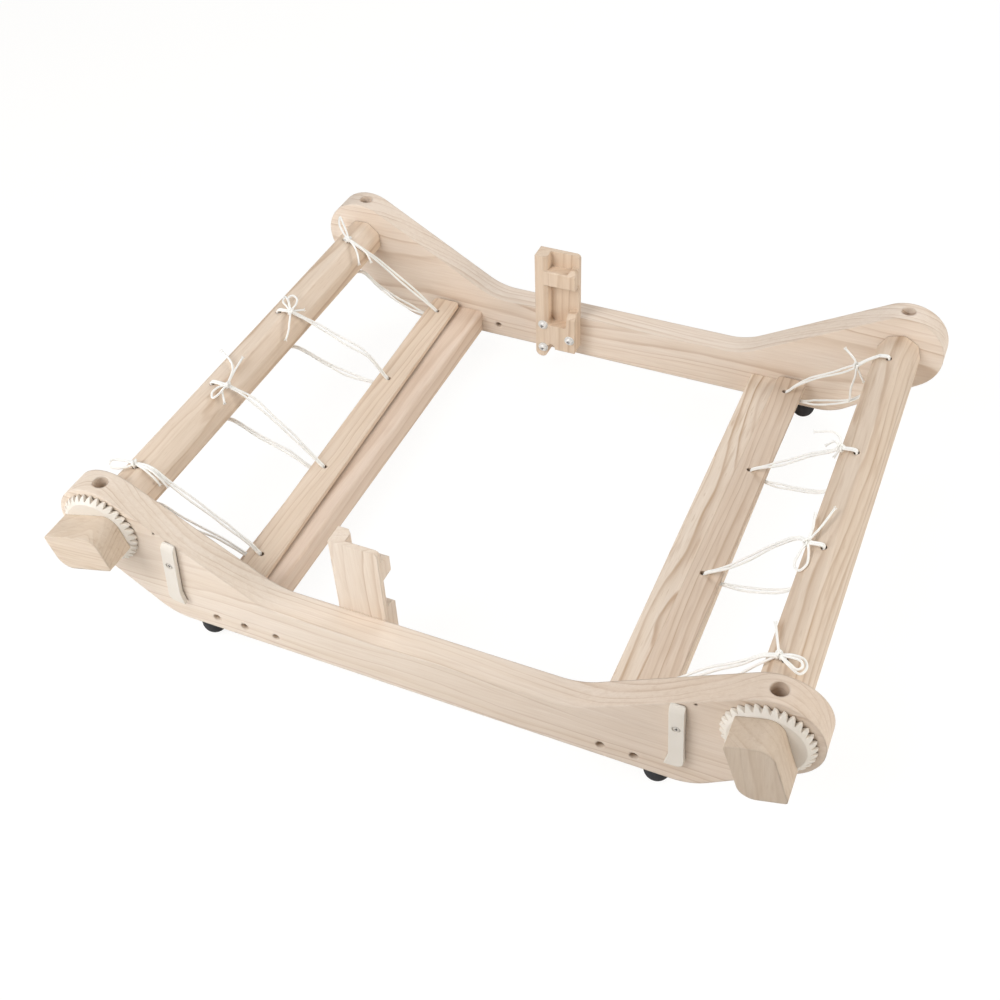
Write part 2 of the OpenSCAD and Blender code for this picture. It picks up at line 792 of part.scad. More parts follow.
// A stick in the loom's frame; x_mid is where its middle line crosses the loom's middle
module warp_stick(x_mid, skew, hole_ys) {
  color(pale_pine) placed() translate([x_mid, 0, stick_bottom]) rotate([0, 0, skew])
    linear_extrude(stick_t) difference() {
      translate([0, stick_shift]) rounded_rect(stick_w, stick_l, stick_corner_r);
      for (y = hole_ys) translate([-hole_offset, y]) circle(d = tie_hole_d);
    }
}

module front_warp_stick() { warp_stick(-front_stick_x, front_stick_skew, front_stick_hole_ys); }
module back_warp_stick() { warp_stick(back_stick_x, back_stick_skew, back_stick_hole_ys); }

// A tie runs as one closed loop: through the roller, over it to the stick, through the stick,
// out under the stick's outer edge, reach away from its hole, and back up into the roller. u is the
// way towards the loom's middle.
cord_orbit = roller_d / 2 + cord_d / 2 + 3 * cord_room;

function tie_path(s, lean, stick_u, reach, y_roller, y_stick) = let (
  top = [cord_orbit * cos(90 + lean), cord_orbit * sin(90 + lean)],
  stick_w_pos = stick_top - head_z + tie_rise,
  far_dist = norm([stick_u, stick_w_pos]),
  leave = atan2(stick_w_pos, stick_u) + acos(cord_orbit / far_dist),
  over = (90 + lean + leave) / 2,
  off = cord_orbit * [cos(leave), sin(leave)],
  low_z = rail_t + cord_room + cord_d / 2 - head_z,
  edge_u = min(roller_x - rail_x - rail_w / 2, stick_u - reach) - cord_d,
  y_mid = (y_roller + y_stick) / 2,
  y_edge = y_roller + (y_stick - y_roller) * edge_u / stick_u
) [
  for (p = [
    [top[0], y_roller, top[1]],
    [cord_orbit * cos(over), y_roller, cord_orbit * sin(over)],
    [off[0], y_roller, off[1]],
    [(off[0] + stick_u) / 2, y_mid, (off[1] + stick_w_pos) / 2 - upper_sag],
    [stick_u, y_stick, stick_w_pos],
    [stick_u, y_stick, low_z],
    [edge_u, y_edge, low_z],
    [edge_u / 2, y_mid, (low_z - cord_orbit) / 2 - lower_sag],
    [-top[0], y_roller, -top[1]]
  ])
    [s * (roller_x - p[0]), p[1], head_z + p[2]]
];

function unit(v) = v / norm(v);

// A closed tube through the given points, one ring of flat sides at each point
module closed_tube(path, d, sides) {
  n = len(path);
  rings = [
    for (i = [0 : n - 1]) let (
      along = unit(unit(path[(i + 1) % n] - path[i]) + unit(path[i] - path[(i + n - 1) % n])),
      across = unit(cross(along, [0, 1, 0])),
      side = cross(along, across)
    )
      for (k = [0 : sides - 1])
        path[i] + d / 2 * (cos(k * 360 / sides) * across + sin(k * 360 / sides) * side)
  ];
  faces = [
    for (i = [0 : n - 1], k = [0 : sides - 1]) let (
      a = i * sides + k,
      b = i * sides + (k + 1) % sides,
      c = ((i + 1) % n) * sides + (k + 1) % sides,
      e = ((i + 1) % n) * sides + k
    )
      each [[a, b, c], [a, c, e]]
  ];
  polyhedron(rings, faces);
}

module front_tie(i) {
  y = front_stick_hole_ys[i];
  hole_x = -front_stick_x - hole_offset * cos(front_stick_skew) - y * sin(front_stick_skew);
  path = tie_path(
    -1, front_turn, roller_x + hole_x, stick_w / 2 - hole_offset, roller_hole_ys[i], y
  );
  color(cotton) placed() closed_tube(path, cord_d, 8);
}

module back_tie(i) {
  y = back_stick_hole_ys[i];
  hole_x = back_stick_x - hole_offset * cos(back_stick_skew) - y * sin(back_stick_skew);
  path = tie_path(
    1, -back_turn, roller_x - hole_x, stick_w / 2 + hole_offset, roller_hole_ys[i], y
  );
  color(cotton) placed() closed_tube(path, cord_d, 8);
}

module front_tie_1() { front_tie(0); }
module front_tie_2() { front_tie(1); }
module front_tie_3() { front_tie(2); }
module front_tie_4() { front_tie(3); }
module back_tie_1() { back_tie(0); }
module back_tie_2() { back_tie(1); }
module back_tie_3() { back_tie(2); }
module back_tie_4() { back_tie(3); }

// A domed rubber foot with a flat to stand on and a recess for its screw
module foot(s, side) {
  r = foot_d / 2;
  dome_z = sqrt(r * r - foot_flat_d * foot_flat_d / 4);
  color(rubber) translate([0, frame_shift, 0]) towards(s) beside(side)
    translate([foot_x, board_mid, 0]) difference() {
      rotate_extrude() intersection() {
        union() {
          translate([0, dome_z]) circle(r);
          translate([0, dome_z]) square([r, foot_h - dome_z]);
        }
        square([r, foot_h]);
      }
      translate([0, 0, -past]) cylinder(d = screw_hole_d, h = foot_h + 2 * past);
      translate([0, 0, -past]) cylinder(d = screw_head_d + 2 * foot_room, h = foot_h / 2 + past);
    }
}

module front_right_foot() { foot(-1, -1); }
module front_left_foot() { foot(-1, 1); }
module back_right_foot() { foot(1, -1); }
module back_left_foot() { foot(1, 1); }

module foot_screws() {
  color(steel) translate([0, frame_shift, 0])
    for (s = [-1, 1], side = [-1, 1])
      towards(s) beside(side)
        translate([foot_x, board_mid, foot_h / 2])
          rotate([-90, 0, 0]) pan_screw(foot_h / 2 + foot_screw_l);
}

right_side();
left_side();
front_rail();
back_rail();
rail_screws();
front_roller();
back_roller();
front_ratchet();
back_ratchet();
front_handle();
back_handle();
front_hanger_bolt();
back_hanger_bolt();
front_ratchet_screws();
back_ratchet_screws();
front_pawl();
back_pawl();
front_pawl_screw();
back_pawl_screw();
right_heddle_block();
left_heddle_block();
block_screws();
block_washers();
front_warp_stick();
back_warp_stick();
front_tie_1();
front_tie_2();
front_tie_3();
front_tie_4();
back_tie_1();
back_tie_2();
back_tie_3();
back_tie_4();
front_right_foot();
front_left_foot();
back_right_foot();
back_left_foot();
foot_screws();
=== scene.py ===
"""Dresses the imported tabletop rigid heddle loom: sawn pine boards, nylon ratchets and pawls,
zinc screws, rubber feet and the doubled cotton ties with their bows."""

import math

import bmesh
import bpy
from mathutils import Matrix, Vector, noise
from mathutils.kdtree import KDTree


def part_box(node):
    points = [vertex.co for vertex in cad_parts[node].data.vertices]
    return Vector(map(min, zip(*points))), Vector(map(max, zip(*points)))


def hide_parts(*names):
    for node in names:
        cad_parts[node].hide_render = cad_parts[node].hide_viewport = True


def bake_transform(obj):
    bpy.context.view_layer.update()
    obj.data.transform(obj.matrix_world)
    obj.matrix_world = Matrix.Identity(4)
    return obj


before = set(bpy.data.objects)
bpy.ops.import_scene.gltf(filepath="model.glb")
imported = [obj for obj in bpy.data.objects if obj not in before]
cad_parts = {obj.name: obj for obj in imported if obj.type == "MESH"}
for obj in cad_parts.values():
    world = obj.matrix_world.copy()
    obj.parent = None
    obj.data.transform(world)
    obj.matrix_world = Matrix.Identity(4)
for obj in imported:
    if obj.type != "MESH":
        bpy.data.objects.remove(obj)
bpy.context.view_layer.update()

bl_info = {
    "name": "Rigid heddle loom",
    "version": (1, 0, 0),
    "blender": (4, 5, 0),
    "location": "View3D > Sidebar > Loom",
    "description": "Finishes the wood, nylon, metal and cord of a tabletop rigid heddle loom",
    "category": "Object",
}

MM = 0.001

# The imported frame, in millimetres: how far the rollers' axes lie from the loom's middle, their
# height, the middle between the side boards, and half a roller's thickness
ROLLER_X = 275.5
ROLLER_Z = 105.0
FRAME_Y = 16.75
ROLLER_R = 19.5
# Heights over a roller's axis: a warp stick's faces, and the strands that run back under it
STICK_TOP = -54.3
STICK_BOTTOM = -58.8
LOW_W = -59.9
# Each end's sign along x, the lean of its tie holes in degrees, and how far a stick reaches past
# its holes towards the roller
ENDS = {
    "front": {"side": -1, "lean": -2.0, "reach": 11.75},
    "back": {"side": 1, "lean": 15.0, "reach": 15.75},
}
# The ties part here on their way to the stick: one part lies at the roller and the other at the
# stick
SPLIT_U = 41.0

# How far the middles of strands, bows and knots stay off the roller, in millimetres, and the
# value for a bow that hangs clear of it
STRAND_ROOM = 1.0
BOW_ROOM = 1.1
KNOT_ROOM = 0.9
NO_ROOM = -30.0
# Strands drift apart where they hang free: where that starts and over what length it grows, where
# it ends for upper and for lower strands, and over what length it fades
FREE_FROM_U, FREE_RISE = 24, 14
FREE_TO_U, LOW_FREE_TO_U, FREE_FALL = 84, 76, 12

# Steps along strands and along a bow's loops and tails, in millimetres
STRAND_STEP, BOW_STEP = 1.6, 1.2

# A tail at least this long, in metres, is made a cord of its own; one that ends lower than this
# over the axis, in millimetres, is tied to the lower strands
DECLARED_TAIL = 0.0305
TIED_DOWN_W = -30.0
# A knot's points, the two radii of its line, and the fibres of a cut end
KNOT_STEPS, KNOT_REACH, KNOT_SWING = 44, 2.15, 1.15
FRAY_FIBRES = 7
FRAY_RADIUS = 0.00026
FRAY_LENGTH, FRAY_UNEVEN = 1.5, 0.9

# Each tie: where its holes lie along the roller and in the stick, its knot, its upper and lower
# strands, the bow's loops and tails, and what lies before a knot that hangs clear of the roller.
# Points are in the roller's own frame, in millimetres: the way towards the loom's middle, the way
# along the roller, and the height over its axis
TIES = {
    "front_tie_1": {
        "roller_y": 179, "stick": (91.7, 191), "knot": (5.4, 175.6, 22),
        "upper": [(30.4, 181.1, 2.3), (54.7, 185, -19.9), (74.4, 188.2, -38.1)],
        "lower": [(14.3, 180.6, -18.2), (31.1, 182.9, -34.1), (51.6, 185.6, -48.4)],
        "loops": [[(-4.3, 183.1, 23), (-14.6, 193.8, 25), (-19.1, 203.8, 26.5),
                   (-10.2, 194.6, 25.5), (-0.5, 183.7, 23.5)]],
        "tails": [[(15, 169, 20.5), (22.3, 162, 17), (27.2, 154.8, 12)],
                  [(21.2, 170.2, 20), (28.7, 168.8, 15.5), (34.1, 166, 9)]],
    },
    "front_tie_2": {
        "roller_y": 46, "stick": (95, 73), "knot": (12.6, 47.3, 22),
        "upper": [(31.2, 56.5, 5.9), (55.3, 62.7, -11.2), (77.4, 68.5, -27.3)],
        "lower": [(11.8, 48.9, -22.1), (35.9, 55.8, -38.9), (56, 61.7, -51.5)],
        "loops": [[(12.4, 58.6, 23), (9.3, 65.3, 23.5), (2.7, 68.3, 23.5), (0.9, 64.2, 23.5),
                   (6.2, 56.2, 23)],
                  [(5.5, 52, 23), (-2, 58.2, 22.5), (-3.7, 65.1, 22.5), (2.5, 59.9, 24.5),
                   (7.4, 53.9, 24.5)]],
        "tails": [[(18.1, 34.7, 19), (21.2, 25.7, 14.5), (21.9, 20, 11.5)],
                  [(15.5, 52.4, 20), (18.5, 59, 17)]],
    },
    "front_tie_3": {
        "roller_y": -69, "stick": (98.7, -62), "knot": (15.4, -68.9, 21.5),
        "upper": [(33.9, -64.6, 9), (56.2, -63.7, -10.6), (76, -62.9, -30.5)],
        "lower": [(12.1, -68.3, -20.6), (35.8, -66.6, -33.5), (65.2, -64.4, -46.7)],
        "loops": [[(10.7, -75.1, 22.5), (8.9, -83.1, 21.5), (12.9, -88.3, 21), (15.7, -83.2, 22),
                   (15.8, -73.8, 22.5)]],
        "tails": [[(8.5, -48, 22.5), (-0.7, -38.2, 22.5), (-13, -31.4, 24)],
                  [(11, -50, 21.5), (8.1, -31.9, 22)],
                  [(14.6, -75.3, 20.5), (20.9, -84.2, 15.5)]],
    },
    "front_tie_4": {
        "roller_y": -186, "stick": (102, -178), "knot": (-1.2, -185.6, 22),
        "upper": [(12.6, -183.6, 20.1), (30.8, -182.4, 4.6), (53.8, -181, -12.9),
                  (75.4, -179.7, -29.9), (94.4, -178.5, -46)],
        "lower": [(14, -184.5, -22.5), (39.2, -183, -38.1), (64.3, -181, -46.8)],
        "loops": [[(-11.6, -187.7, 24), (-18.6, -191.6, 25), (-16.7, -197.9, 24.5),
                   (-9.9, -197.3, 23.5), (-2.1, -190.1, 22.5)]],
        "tails": [[(10.8, -188, 20.5), (19.7, -189.7, 16), (23.6, -189.9, 11)],
                  [(14.2, -186.1, 20), (23.4, -187.2, 14.5), (28.4, -187.3, 8)]],
    },
    "back_tie_1": {
        "roller_y": 179, "stick": (92.8, 191), "knot": (31.5, 181.5, 1),
        "upper": [(48.3, 185, -14.2), (70, 187.9, -30), (84, 189.8, -44.5)],
        "lower": [(12, 180.5, -22.5), (32.2, 183, -41.2), (54.6, 186, -52.5)],
        "before": [(13.1, 180.2, 18.5), (23, 181.5, 9.8)],
        "loops": [],
        "tails": [[(33.9, 182.6, 6), (43.9, 189.8, 10)],
                  [(26.9, 180.1, -6), (23, 179.2, -12)],
                  [(30.3, 177, -6), (31.8, 174.7, -20), (31.3, 176.5, -32), (32.2, 182, -40.5)]],
    },
    "back_tie_2": {
        "roller_y": 46, "stick": (94.5, 73), "knot": (18, 50, 16),
        "upper": [(24.9, 53.9, 7.2), (43, 58.9, -7.9), (63.4, 64.5, -28.1)],
        "lower": [(11, 48.5, -24), (27.4, 53.4, -40.9), (54, 61.2, -52.5)],
        "loops": [],
        "tails": [[(21.7, 60.9, 17), (27.7, 63.6, 19), (41.4, 60.1, 18)],
                  [(24.5, 55.9, 16), (29.8, 53.3, 13)],
                  [(21.3, 45.3, 10)]],
    },
    "back_tie_3": {
        "roller_y": -69, "stick": (96.4, -62), "knot": (17.7, -70, 20),
        "upper": [(25.2, -64.7, 16.6), (41.5, -64.1, 1.9), (62, -63.3, -23.1),
                  (78.2, -62.7, -40.3)],
        "lower": [(11, -68.3, -25), (28.5, -67, -42.9), (58.2, -64.8, -55.8)],
        "loops": [[(20.4, -80.3, 18), (21.6, -91.1, 14), (17.2, -95.6, 14), (12.9, -90.7, 17),
                   (15, -76.1, 19)]],
        "tails": [[(17, -55.6, 22), (18.6, -43.4, 24)],
                  [(11.4, -51.7, 22), (6.3, -31.8, 24)]],
    },
    "back_tie_4": {
        "roller_y": -186, "stick": (98, -186), "knot": (9.5, -185.5, 21),
        "upper": [(20.6, -184.4, 14.2), (34, -184.6, 0.4), (55.2, -185, -16.9),
                  (77.2, -185.6, -37.9)],
        "lower": [(11, -185.2, -24.5), (32, -185.4, -41), (60, -185.7, -53.5)],
        "loops": [[(0.2, -183.6, 23), (-8.3, -184.9, 23), (-11.1, -191.2, 22.5),
                   (-8.1, -197.9, 22.5), (-0.2, -194.1, 22.5)],
                  [(0.3, -187.7, 25), (-6.2, -188.9, 25.5), (-8.4, -193.2, 25),
                   (-5.4, -196.3, 24.5), (1.1, -192.4, 24)]],
        "tails": [[(14, -172.8, 21), (19, -157.3, 19)],
                  [(22, -188, 8), (36, -190.5, -9), (50, -190.5, -26), (58, -188, -42)]],
    },
}

# How each wooden node lies in its tree, lengths in millimetres: the axis its grain runs along, the
# pith's place from the piece's middle, the growth lines' spacing, the pith's lean in degrees, how
# far the lines wander, how strongly they and the dark streaks show, and the piece's tone, partly
# the wood's own colour and partly painted light and shade, set piece by piece
BEIGE = (1.0, 1.015, 1.03)
WARM = (0.985, 0.955, 0.92)
ROSY = (0.965, 0.915, 0.89)
GRAIN = {
    "right_side": ("x", (52, 16), 5.6, 1.3, 34, 0.62, 0.4, BEIGE),
    "left_side": ("x", (-58, -4), 5.6, 1.6, 36, 0.75, 0.35, (1.02, 1.025, 1.04)),
    "front_rail": ("y", (14, -42), 6.5, 1.2, 26, 0.6, 0.5, ROSY),
    "back_rail": ("y", (-20, -34), 6.0, 1.4, 50, 1.15, 1.4, (1.03, 1.03, 1.02)),
    "front_roller": ("y", (24, -36), 6.0, 1.3, 26, 0.85, 0.7, WARM),
    "back_roller": ("y", (-40, -26), 6.5, -1.6, 34, 0.85, 0.8, (0.90, 0.87, 0.835)),
    "front_handle": ("x", (70, -190), 3.6, 5.0, 10, 0.55, 0.7, (0.85, 0.825, 0.785)),
    "back_handle": ("z", (150, -110), 6.5, 6.0, 14, 0.4, 0.6, (0.74, 0.71, 0.67)),
    "right_heddle_block": ("z", (60, 40), 5.5, 2.0, 18, 0.6, 0.4, (1.02, 1.03, 1.04)),
    "left_heddle_block": ("z", (-50, -40), 6.0, 2.5, 18, 0.7, 0.4, (0.95, 0.90, 0.84)),
    "front_warp_stick": ("y", (50, -34), 6.0, 1.0, 22, 0.75, 0.5, WARM),
    "back_warp_stick": ("y", (-56, -26), 6.5, -1.2, 26, 0.85, 0.7, (0.91, 0.87, 0.835)),
}

# Painted shade that darkens a board along x, standing in for the light's falloff: from where to
# where, in millimetres, and the darker end's tone
SHADE_ALONG_X = {"right_side": (-10, 170, (0.90, 0.87, 0.85))}
# How far in from a warp stick's sides its tie holes begin, in metres
STICK_RIM = 0.006

# The cross in a pawl screw's head: its reach from the middle and the least depth under the head's
# face, in metres, and the colour of the shade painted into it
CROSS_RADIUS = 0.0023
CROSS_DEPTH = 0.00025
CROSS_SHADE = (0.03, 0.028, 0.026, 1)

# Painted shade makes cords greyer where they hang free: a stretch of |x| in metres, where along it
# they are, the y past which none is, and the grey. Cord that lies against something gets painted
# shade of a colour of its own
FREE_CORD_X = (0.19, 0.30)
FREE_CORD_STOPS = ((0.09, 0.0), (0.2, 1.0), (0.52, 1.0), (0.6, 0.0), (0.82, 0.0), (0.9, 1.0))
FREE_CORD_Y = 0.15
FREE_CORD_SHADE = (0.64, 0.635, 0.63, 1)
CONTACT_CORD_SHADE = (0.33, 0.29, 0.25, 1)

# The ends of the names of the fittings that have each finish
FITTINGS = {
    "cream_nylon": ("_ratchet", "_pawl"),
    "zinc_plate": ("_screws", "_bolt", "_washers"),
    "white_enamel": ("_pawl_screw",),
    "black_rubber": ("_foot",),
}

# The photograph's camera, fitted to the loom: its turn, fall and roll in degrees, its focal length
# as a share of the sensor's width, its shift, and its place in millimetres
SENSOR_WIDTH = 36
CAMERA_ANGLES = (25.06, 43.86, -2.55)
CAMERA_LENS = 1.28144
CAMERA_SHIFT = (-0.0047, -0.00595)
CAMERA_PLACE = (335.0, -756.65, 833.5)

# The lights' places and sizes in metres and their tints; each one's power is a setting
WHITE, WARM_WHITE = (1, 1, 1), (1, 0.965, 0.91)
LIGHTS = {
    "front": ((-0.8, -1.3, 1.5), (1.0, 1.0), WHITE),
    "low": ((-1.0, -0.9, 0.42), (0.6, 0.6), WHITE),
    "right": ((1.5, -0.2, 0.7), (0.9, 0.9), WARM_WHITE),
    "back": ((0.1, 1.3, 1.3), (1.4, 1.0), WHITE),
    "top": ((-0.25, -0.3, 1.7), (1.8, 1.3), WHITE),
}
AIM = (0, 0, 0.05)
FLOOR_SIZE = 9


# ------------------------ settings

COLOUR = {"subtype": "COLOR", "size": 3, "min": 0, "max": 1}
LENGTH = {"subtype": "DISTANCE", "unit": "LENGTH"}
POWER = {"subtype": "POWER", "unit": "POWER", "min": 0, "max": 500}


class LoomWoodSettings(bpy.types.PropertyGroup):
    """Colours and figure of the sawn pine."""

    pale: bpy.props.FloatVectorProperty(
        name="Early wood", description="Colour of the pale wood between the growth lines",
        default=(0.875, 0.77, 0.665), **COLOUR)
    line: bpy.props.FloatVectorProperty(
        name="Growth lines", description="Colour of the growth lines",
        default=(0.46, 0.285, 0.16), **COLOUR)
    contrast: bpy.props.FloatProperty(
        name="Line strength", description="How strongly the growth lines show",
        subtype="FACTOR", min=0, max=1, default=0.9)
    edge: bpy.props.FloatProperty(
        name="Edge softness", description="Radius of the sanded edges",
        min=0, max=0.004, default=0.0013, **LENGTH)


class LoomFittingSettings(bpy.types.PropertyGroup):
    """Colours of the nylon, metal and rubber fittings."""

    nylon: bpy.props.FloatVectorProperty(
        name="Nylon", description="Colour of the ratchets and pawls",
        default=(0.80, 0.75, 0.685), **COLOUR)
    zinc: bpy.props.FloatVectorProperty(
        name="Zinc", description="Colour of the plated screws and washers",
        default=(0.9, 0.895, 0.88), **COLOUR)
    rubber: bpy.props.FloatVectorProperty(
        name="Rubber", description="Colour of the feet",
        default=(0.026, 0.025, 0.026), **COLOUR)


class LoomTieSettings(bpy.types.PropertyGroup):
    """Sizes and colour of the cotton ties."""

    diameter: bpy.props.FloatProperty(
        name="Cord diameter", description="Diameter of one strand of the cotton cord",
        min=0.001, max=0.0024, default=0.002, **LENGTH)
    pitch: bpy.props.FloatProperty(
        name="Twist pitch", description="Length of one turn of the cord's twist",
        min=0.001, max=0.02, default=0.0052, **LENGTH)
    cotton: bpy.props.FloatVectorProperty(
        name="Cotton", description="Colour of the cotton cord",
        default=(0.86, 0.845, 0.82), **COLOUR)


class LoomStageSettings(bpy.types.PropertyGroup):
    """Floor and lights of the picture."""

    floor: bpy.props.FloatVectorProperty(
        name="Floor", description="Colour of the plain floor",
        default=(0.88, 0.875, 0.865), **COLOUR)
    floor_glow: bpy.props.FloatProperty(
        name="Floor glow", description="Light that the floor shows the camera by itself",
        min=0, max=2, default=0.93)
    front: bpy.props.FloatProperty(
        name="Front light", description="Power of the light high at the front on the left",
        default=22.5, **POWER)
    low: bpy.props.FloatProperty(
        name="Low light", description="Power of the low light from the left",
        default=5, **POWER)
    right: bpy.props.FloatProperty(
        name="Right light", description="Power of the low light from the right",
        default=13, **POWER)
    back: bpy.props.FloatProperty(
        name="Back light", description="Power of the light behind the loom",
        default=12, **POWER)
    top: bpy.props.FloatProperty(
        name="Top light", description="Power of the large light overhead",
        default=5.5, **POWER)
    sky: bpy.props.FloatProperty(
        name="Room light", description="Strength of the even light all round",
        min=0, max=2, default=0.08)


# ------------------------ node helpers

def connect(tree, value, socket):
    """Links an input to another node, or fills it with a plain value."""
    if isinstance(value, bpy.types.NodeSocket):
        tree.links.new(value, socket)
    else:
        socket.default_value = value


def add_node(tree, kind, inputs=None, **values):
    """A shader node with its named properties set and its inputs linked or filled."""
    node = tree.nodes.new("ShaderNode" + kind)
    for name, value in values.items():
        setattr(node, name, value)
    for name, value in (inputs or {}).items():
        connect(tree, value, node.inputs[name])
    return node


def math_node(tree, operation, first, second=None, clamp=False):
    inputs = {0: first} if second is None else {0: first, 1: second}
    return add_node(tree, "Math", inputs, operation=operation, use_clamp=clamp).outputs[0]


def product(tree, first, second):
    return math_node(tree, "MULTIPLY", first, second)


def mixed_colour(tree, factor, first, second, blend="MIX"):
    inputs = {0: factor, 6: first, 7: second}
    return add_node(tree, "Mix", inputs, data_type="RGBA", blend_type=blend).outputs[2]


def grey_to(tree, mask, low, high):
    """A mask's 0 to 1 made low to high."""
    return add_node(tree, "MapRange", {"Value": mask, "To Min": low, "To Max": high}).outputs[0]


def share_of(tree, value, start, stop):
    """How far a value is on its way from start to stop, 0 to 1."""
    inputs = {"Value": value, "From Min": start, "From Max": stop}
    return add_node(tree, "MapRange", inputs).outputs[0]


def ramp(tree, factor, stops):
    """A grey ramp through (position, value) stops."""
    node = add_node(tree, "ValToRGB", {0: factor})
    points = node.color_ramp.elements
    while len(points) < len(stops):
        points.new(0.5)
    for point, (place, value) in zip(points, stops):
        point.position = place
        point.color = (value, value, value, 1)
    return node.outputs[0]


def noise_node(tree, vector, stretch, detail=2.0, roughness=0.5):
    """A noise whose cells are 1 / stretch metres long on each axis."""
    place = add_node(tree, "VectorMath", {0: vector, 1: stretch}, operation="MULTIPLY").outputs[0]
    inputs = {"Vector": place, "Scale": 1.0, "Detail": detail, "Roughness": roughness}
    return add_node(tree, "TexNoise", inputs).outputs[0]


def line_noise(tree, value):
    """A noise along one value."""
    inputs = {"W": value, "Scale": 1.0}
    return add_node(tree, "TexNoise", inputs, noise_dimensions="1D").outputs[0]


def object_point(tree):
    """The shaded point's place on its part."""
    return add_node(tree, "TexCoord").outputs["Object"]


def object_axes(tree):
    """That place's x, y and z."""
    return add_node(tree, "SeparateXYZ", {0: object_point(tree)}).outputs


def tinted(colour, share):
    """A colour times a number, or times one for each of red, green and blue."""
    shares = share if isinstance(share, tuple) else (share, share, share)
    return [min(1, c * k) for c, k in zip(colour, shares)] + [1]


def new_group(name, inputs, outputs):
    """A node group with its inputs' names and defaults and its outputs' names."""
    group = bpy.data.node_groups.new(name, "ShaderNodeTree")

    def add_socket(label, way):
        kind = "NodeSocketVector" if label in ("Vector", "Normal") else "NodeSocketFloat"
        return group.interface.new_socket(label, in_out=way, socket_type=kind)

    for label, value in inputs.items():
        socket = add_socket(label, "INPUT")
        if value is not None:
            socket.default_value = value
    for label in outputs:
        add_socket(label, "OUTPUT")
    given, result = group.nodes.new("NodeGroupInput"), group.nodes.new("NodeGroupOutput")
    return group, given.outputs, result.inputs


def use_group(tree, name, inputs):
    return add_node(tree, "Group", inputs, node_tree=bpy.data.node_groups[name]).outputs


# ------------------------ shared patterns

def sawn_grain_group():
    """Growth lines round a pith along x, broad bands, dark streaks, fine fibres and slow shade."""
    group, given, result = new_group(
        "sawn_grain", {"Vector": None, "Ring Spacing": 0.007, "Wander": 0.02},
        ("Lines", "Bands", "Fibres", "Shade", "Streaks", "Flecks"))
    vector = given["Vector"]
    parts = add_node(group, "SeparateXYZ", {0: vector}).outputs
    radius = math_node(group, "SQRT", math_node(
        group, "ADD", product(group, parts[1], parts[1]), product(group, parts[2], parts[2])))
    # The lines wander slowly, and ripple within a few millimetres
    slow = math_node(group, "SUBTRACT", noise_node(group, vector, (3.4, 9, 9), 1.5), 0.5)
    quick = math_node(group, "SUBTRACT", noise_node(group, vector, (15, 70, 70), 2.5), 0.5)
    drift = math_node(
        group, "ADD", product(group, slow, given["Wander"]), product(group, quick, 0.0034))
    even = math_node(
        group, "DIVIDE", math_node(group, "ADD", radius, drift), given["Ring Spacing"])
    # Good and bad years make the rings wider and narrower
    years = line_noise(group, product(group, even, 0.55))
    turns = math_node(group, "ADD", even, product(group, years, 1.5))
    # Across a ring the wood darkens slowly and gets pale again at once
    profile = ramp(group, math_node(group, "FRACT", turns), (
        (0.0, 0.0), (0.4, 0.04), (0.7, 0.3), (0.84, 1.0), (0.9, 1.0), (0.99, 0.0)))
    # Each ring has its own strength
    each = add_node(
        group, "TexWhiteNoise", {"W": math_node(group, "FLOOR", turns)},
        noise_dimensions="1D").outputs[0]
    fade = ramp(group, noise_node(group, vector, (6, 60, 60), 1.0), ((0.35, 0.4), (0.6, 1.0)))
    lines = product(group, product(group, profile, grey_to(group, each, 0.25, 1.0)), fade)
    group.links.new(lines, result["Lines"])
    bands = line_noise(group, product(group, turns, 0.8))
    fine = math_node(
        group, "ADD", product(group, noise_node(group, vector, (30, 1150, 1150), 3.0, 0.62), 0.5),
        product(group, noise_node(group, vector, (16, 420, 420), 2.0, 0.55), 0.5))
    shade = noise_node(group, vector, (5, 24, 24))
    streaks = noise_node(group, vector, (17, 250, 250))
    flecks = noise_node(group, vector, (70, 850, 850), 1.0)
    for label, found, low, high in (
            ("Bands", bands, 0.34, 0.66), ("Fibres", fine, 0.3, 0.7), ("Shade", shade, 0.32, 0.68),
            ("Streaks", streaks, 0.56, 0.74), ("Flecks", flecks, 0.66, 0.78)):
        group.links.new(ramp(group, found, ((low, 0.0), (high, 1.0))), result[label])


def soft_edge_group():
    """Normals rounded over sharp edges; masks of them for painted highlights, of holes and narrow
    gaps for painted shade.
    """
    group, given, result = new_group(
        "soft_edge", {"Radius": 0.001, "Reach": 0.005}, ("Normal", "Edge", "Hollow"))
    shut = add_node(group, "AmbientOcclusion", {"Distance": given["Reach"]}, samples=6)
    bevel = add_node(group, "Bevel", {"Radius": given["Radius"]}, samples=6).outputs[0]
    flat = add_node(group, "NewGeometry").outputs["Normal"]
    turn = add_node(group, "VectorMath", {0: bevel, 1: flat}, operation="DOT_PRODUCT")
    group.links.new(bevel, result["Normal"])
    group.links.new(
        ramp(group, turn.outputs["Value"], ((0.75, 1.0), (0.97, 0.0))), result["Edge"])
    group.links.new(ramp(group, shut.outputs["AO"], ((0.08, 1.0), (0.5, 0.0))), result["Hollow"])


def speckle_group():
    """Fine and broad unevenness of a moulded or plated surface."""
    group, given, result = new_group(
        "surface_speckle", {"Vector": None, "Size": 0.001}, ("Fine", "Broad"))
    scale = math_node(group, "DIVIDE", 1.0, given["Size"])
    for label, share in (("Fine", 1.0), ("Broad", 0.12)):
        found = add_node(
            group, "TexNoise",
            {"Vector": given["Vector"], "Scale": product(group, scale, share), "Detail": 2.0})
        group.links.new(found.outputs[0], result[label])


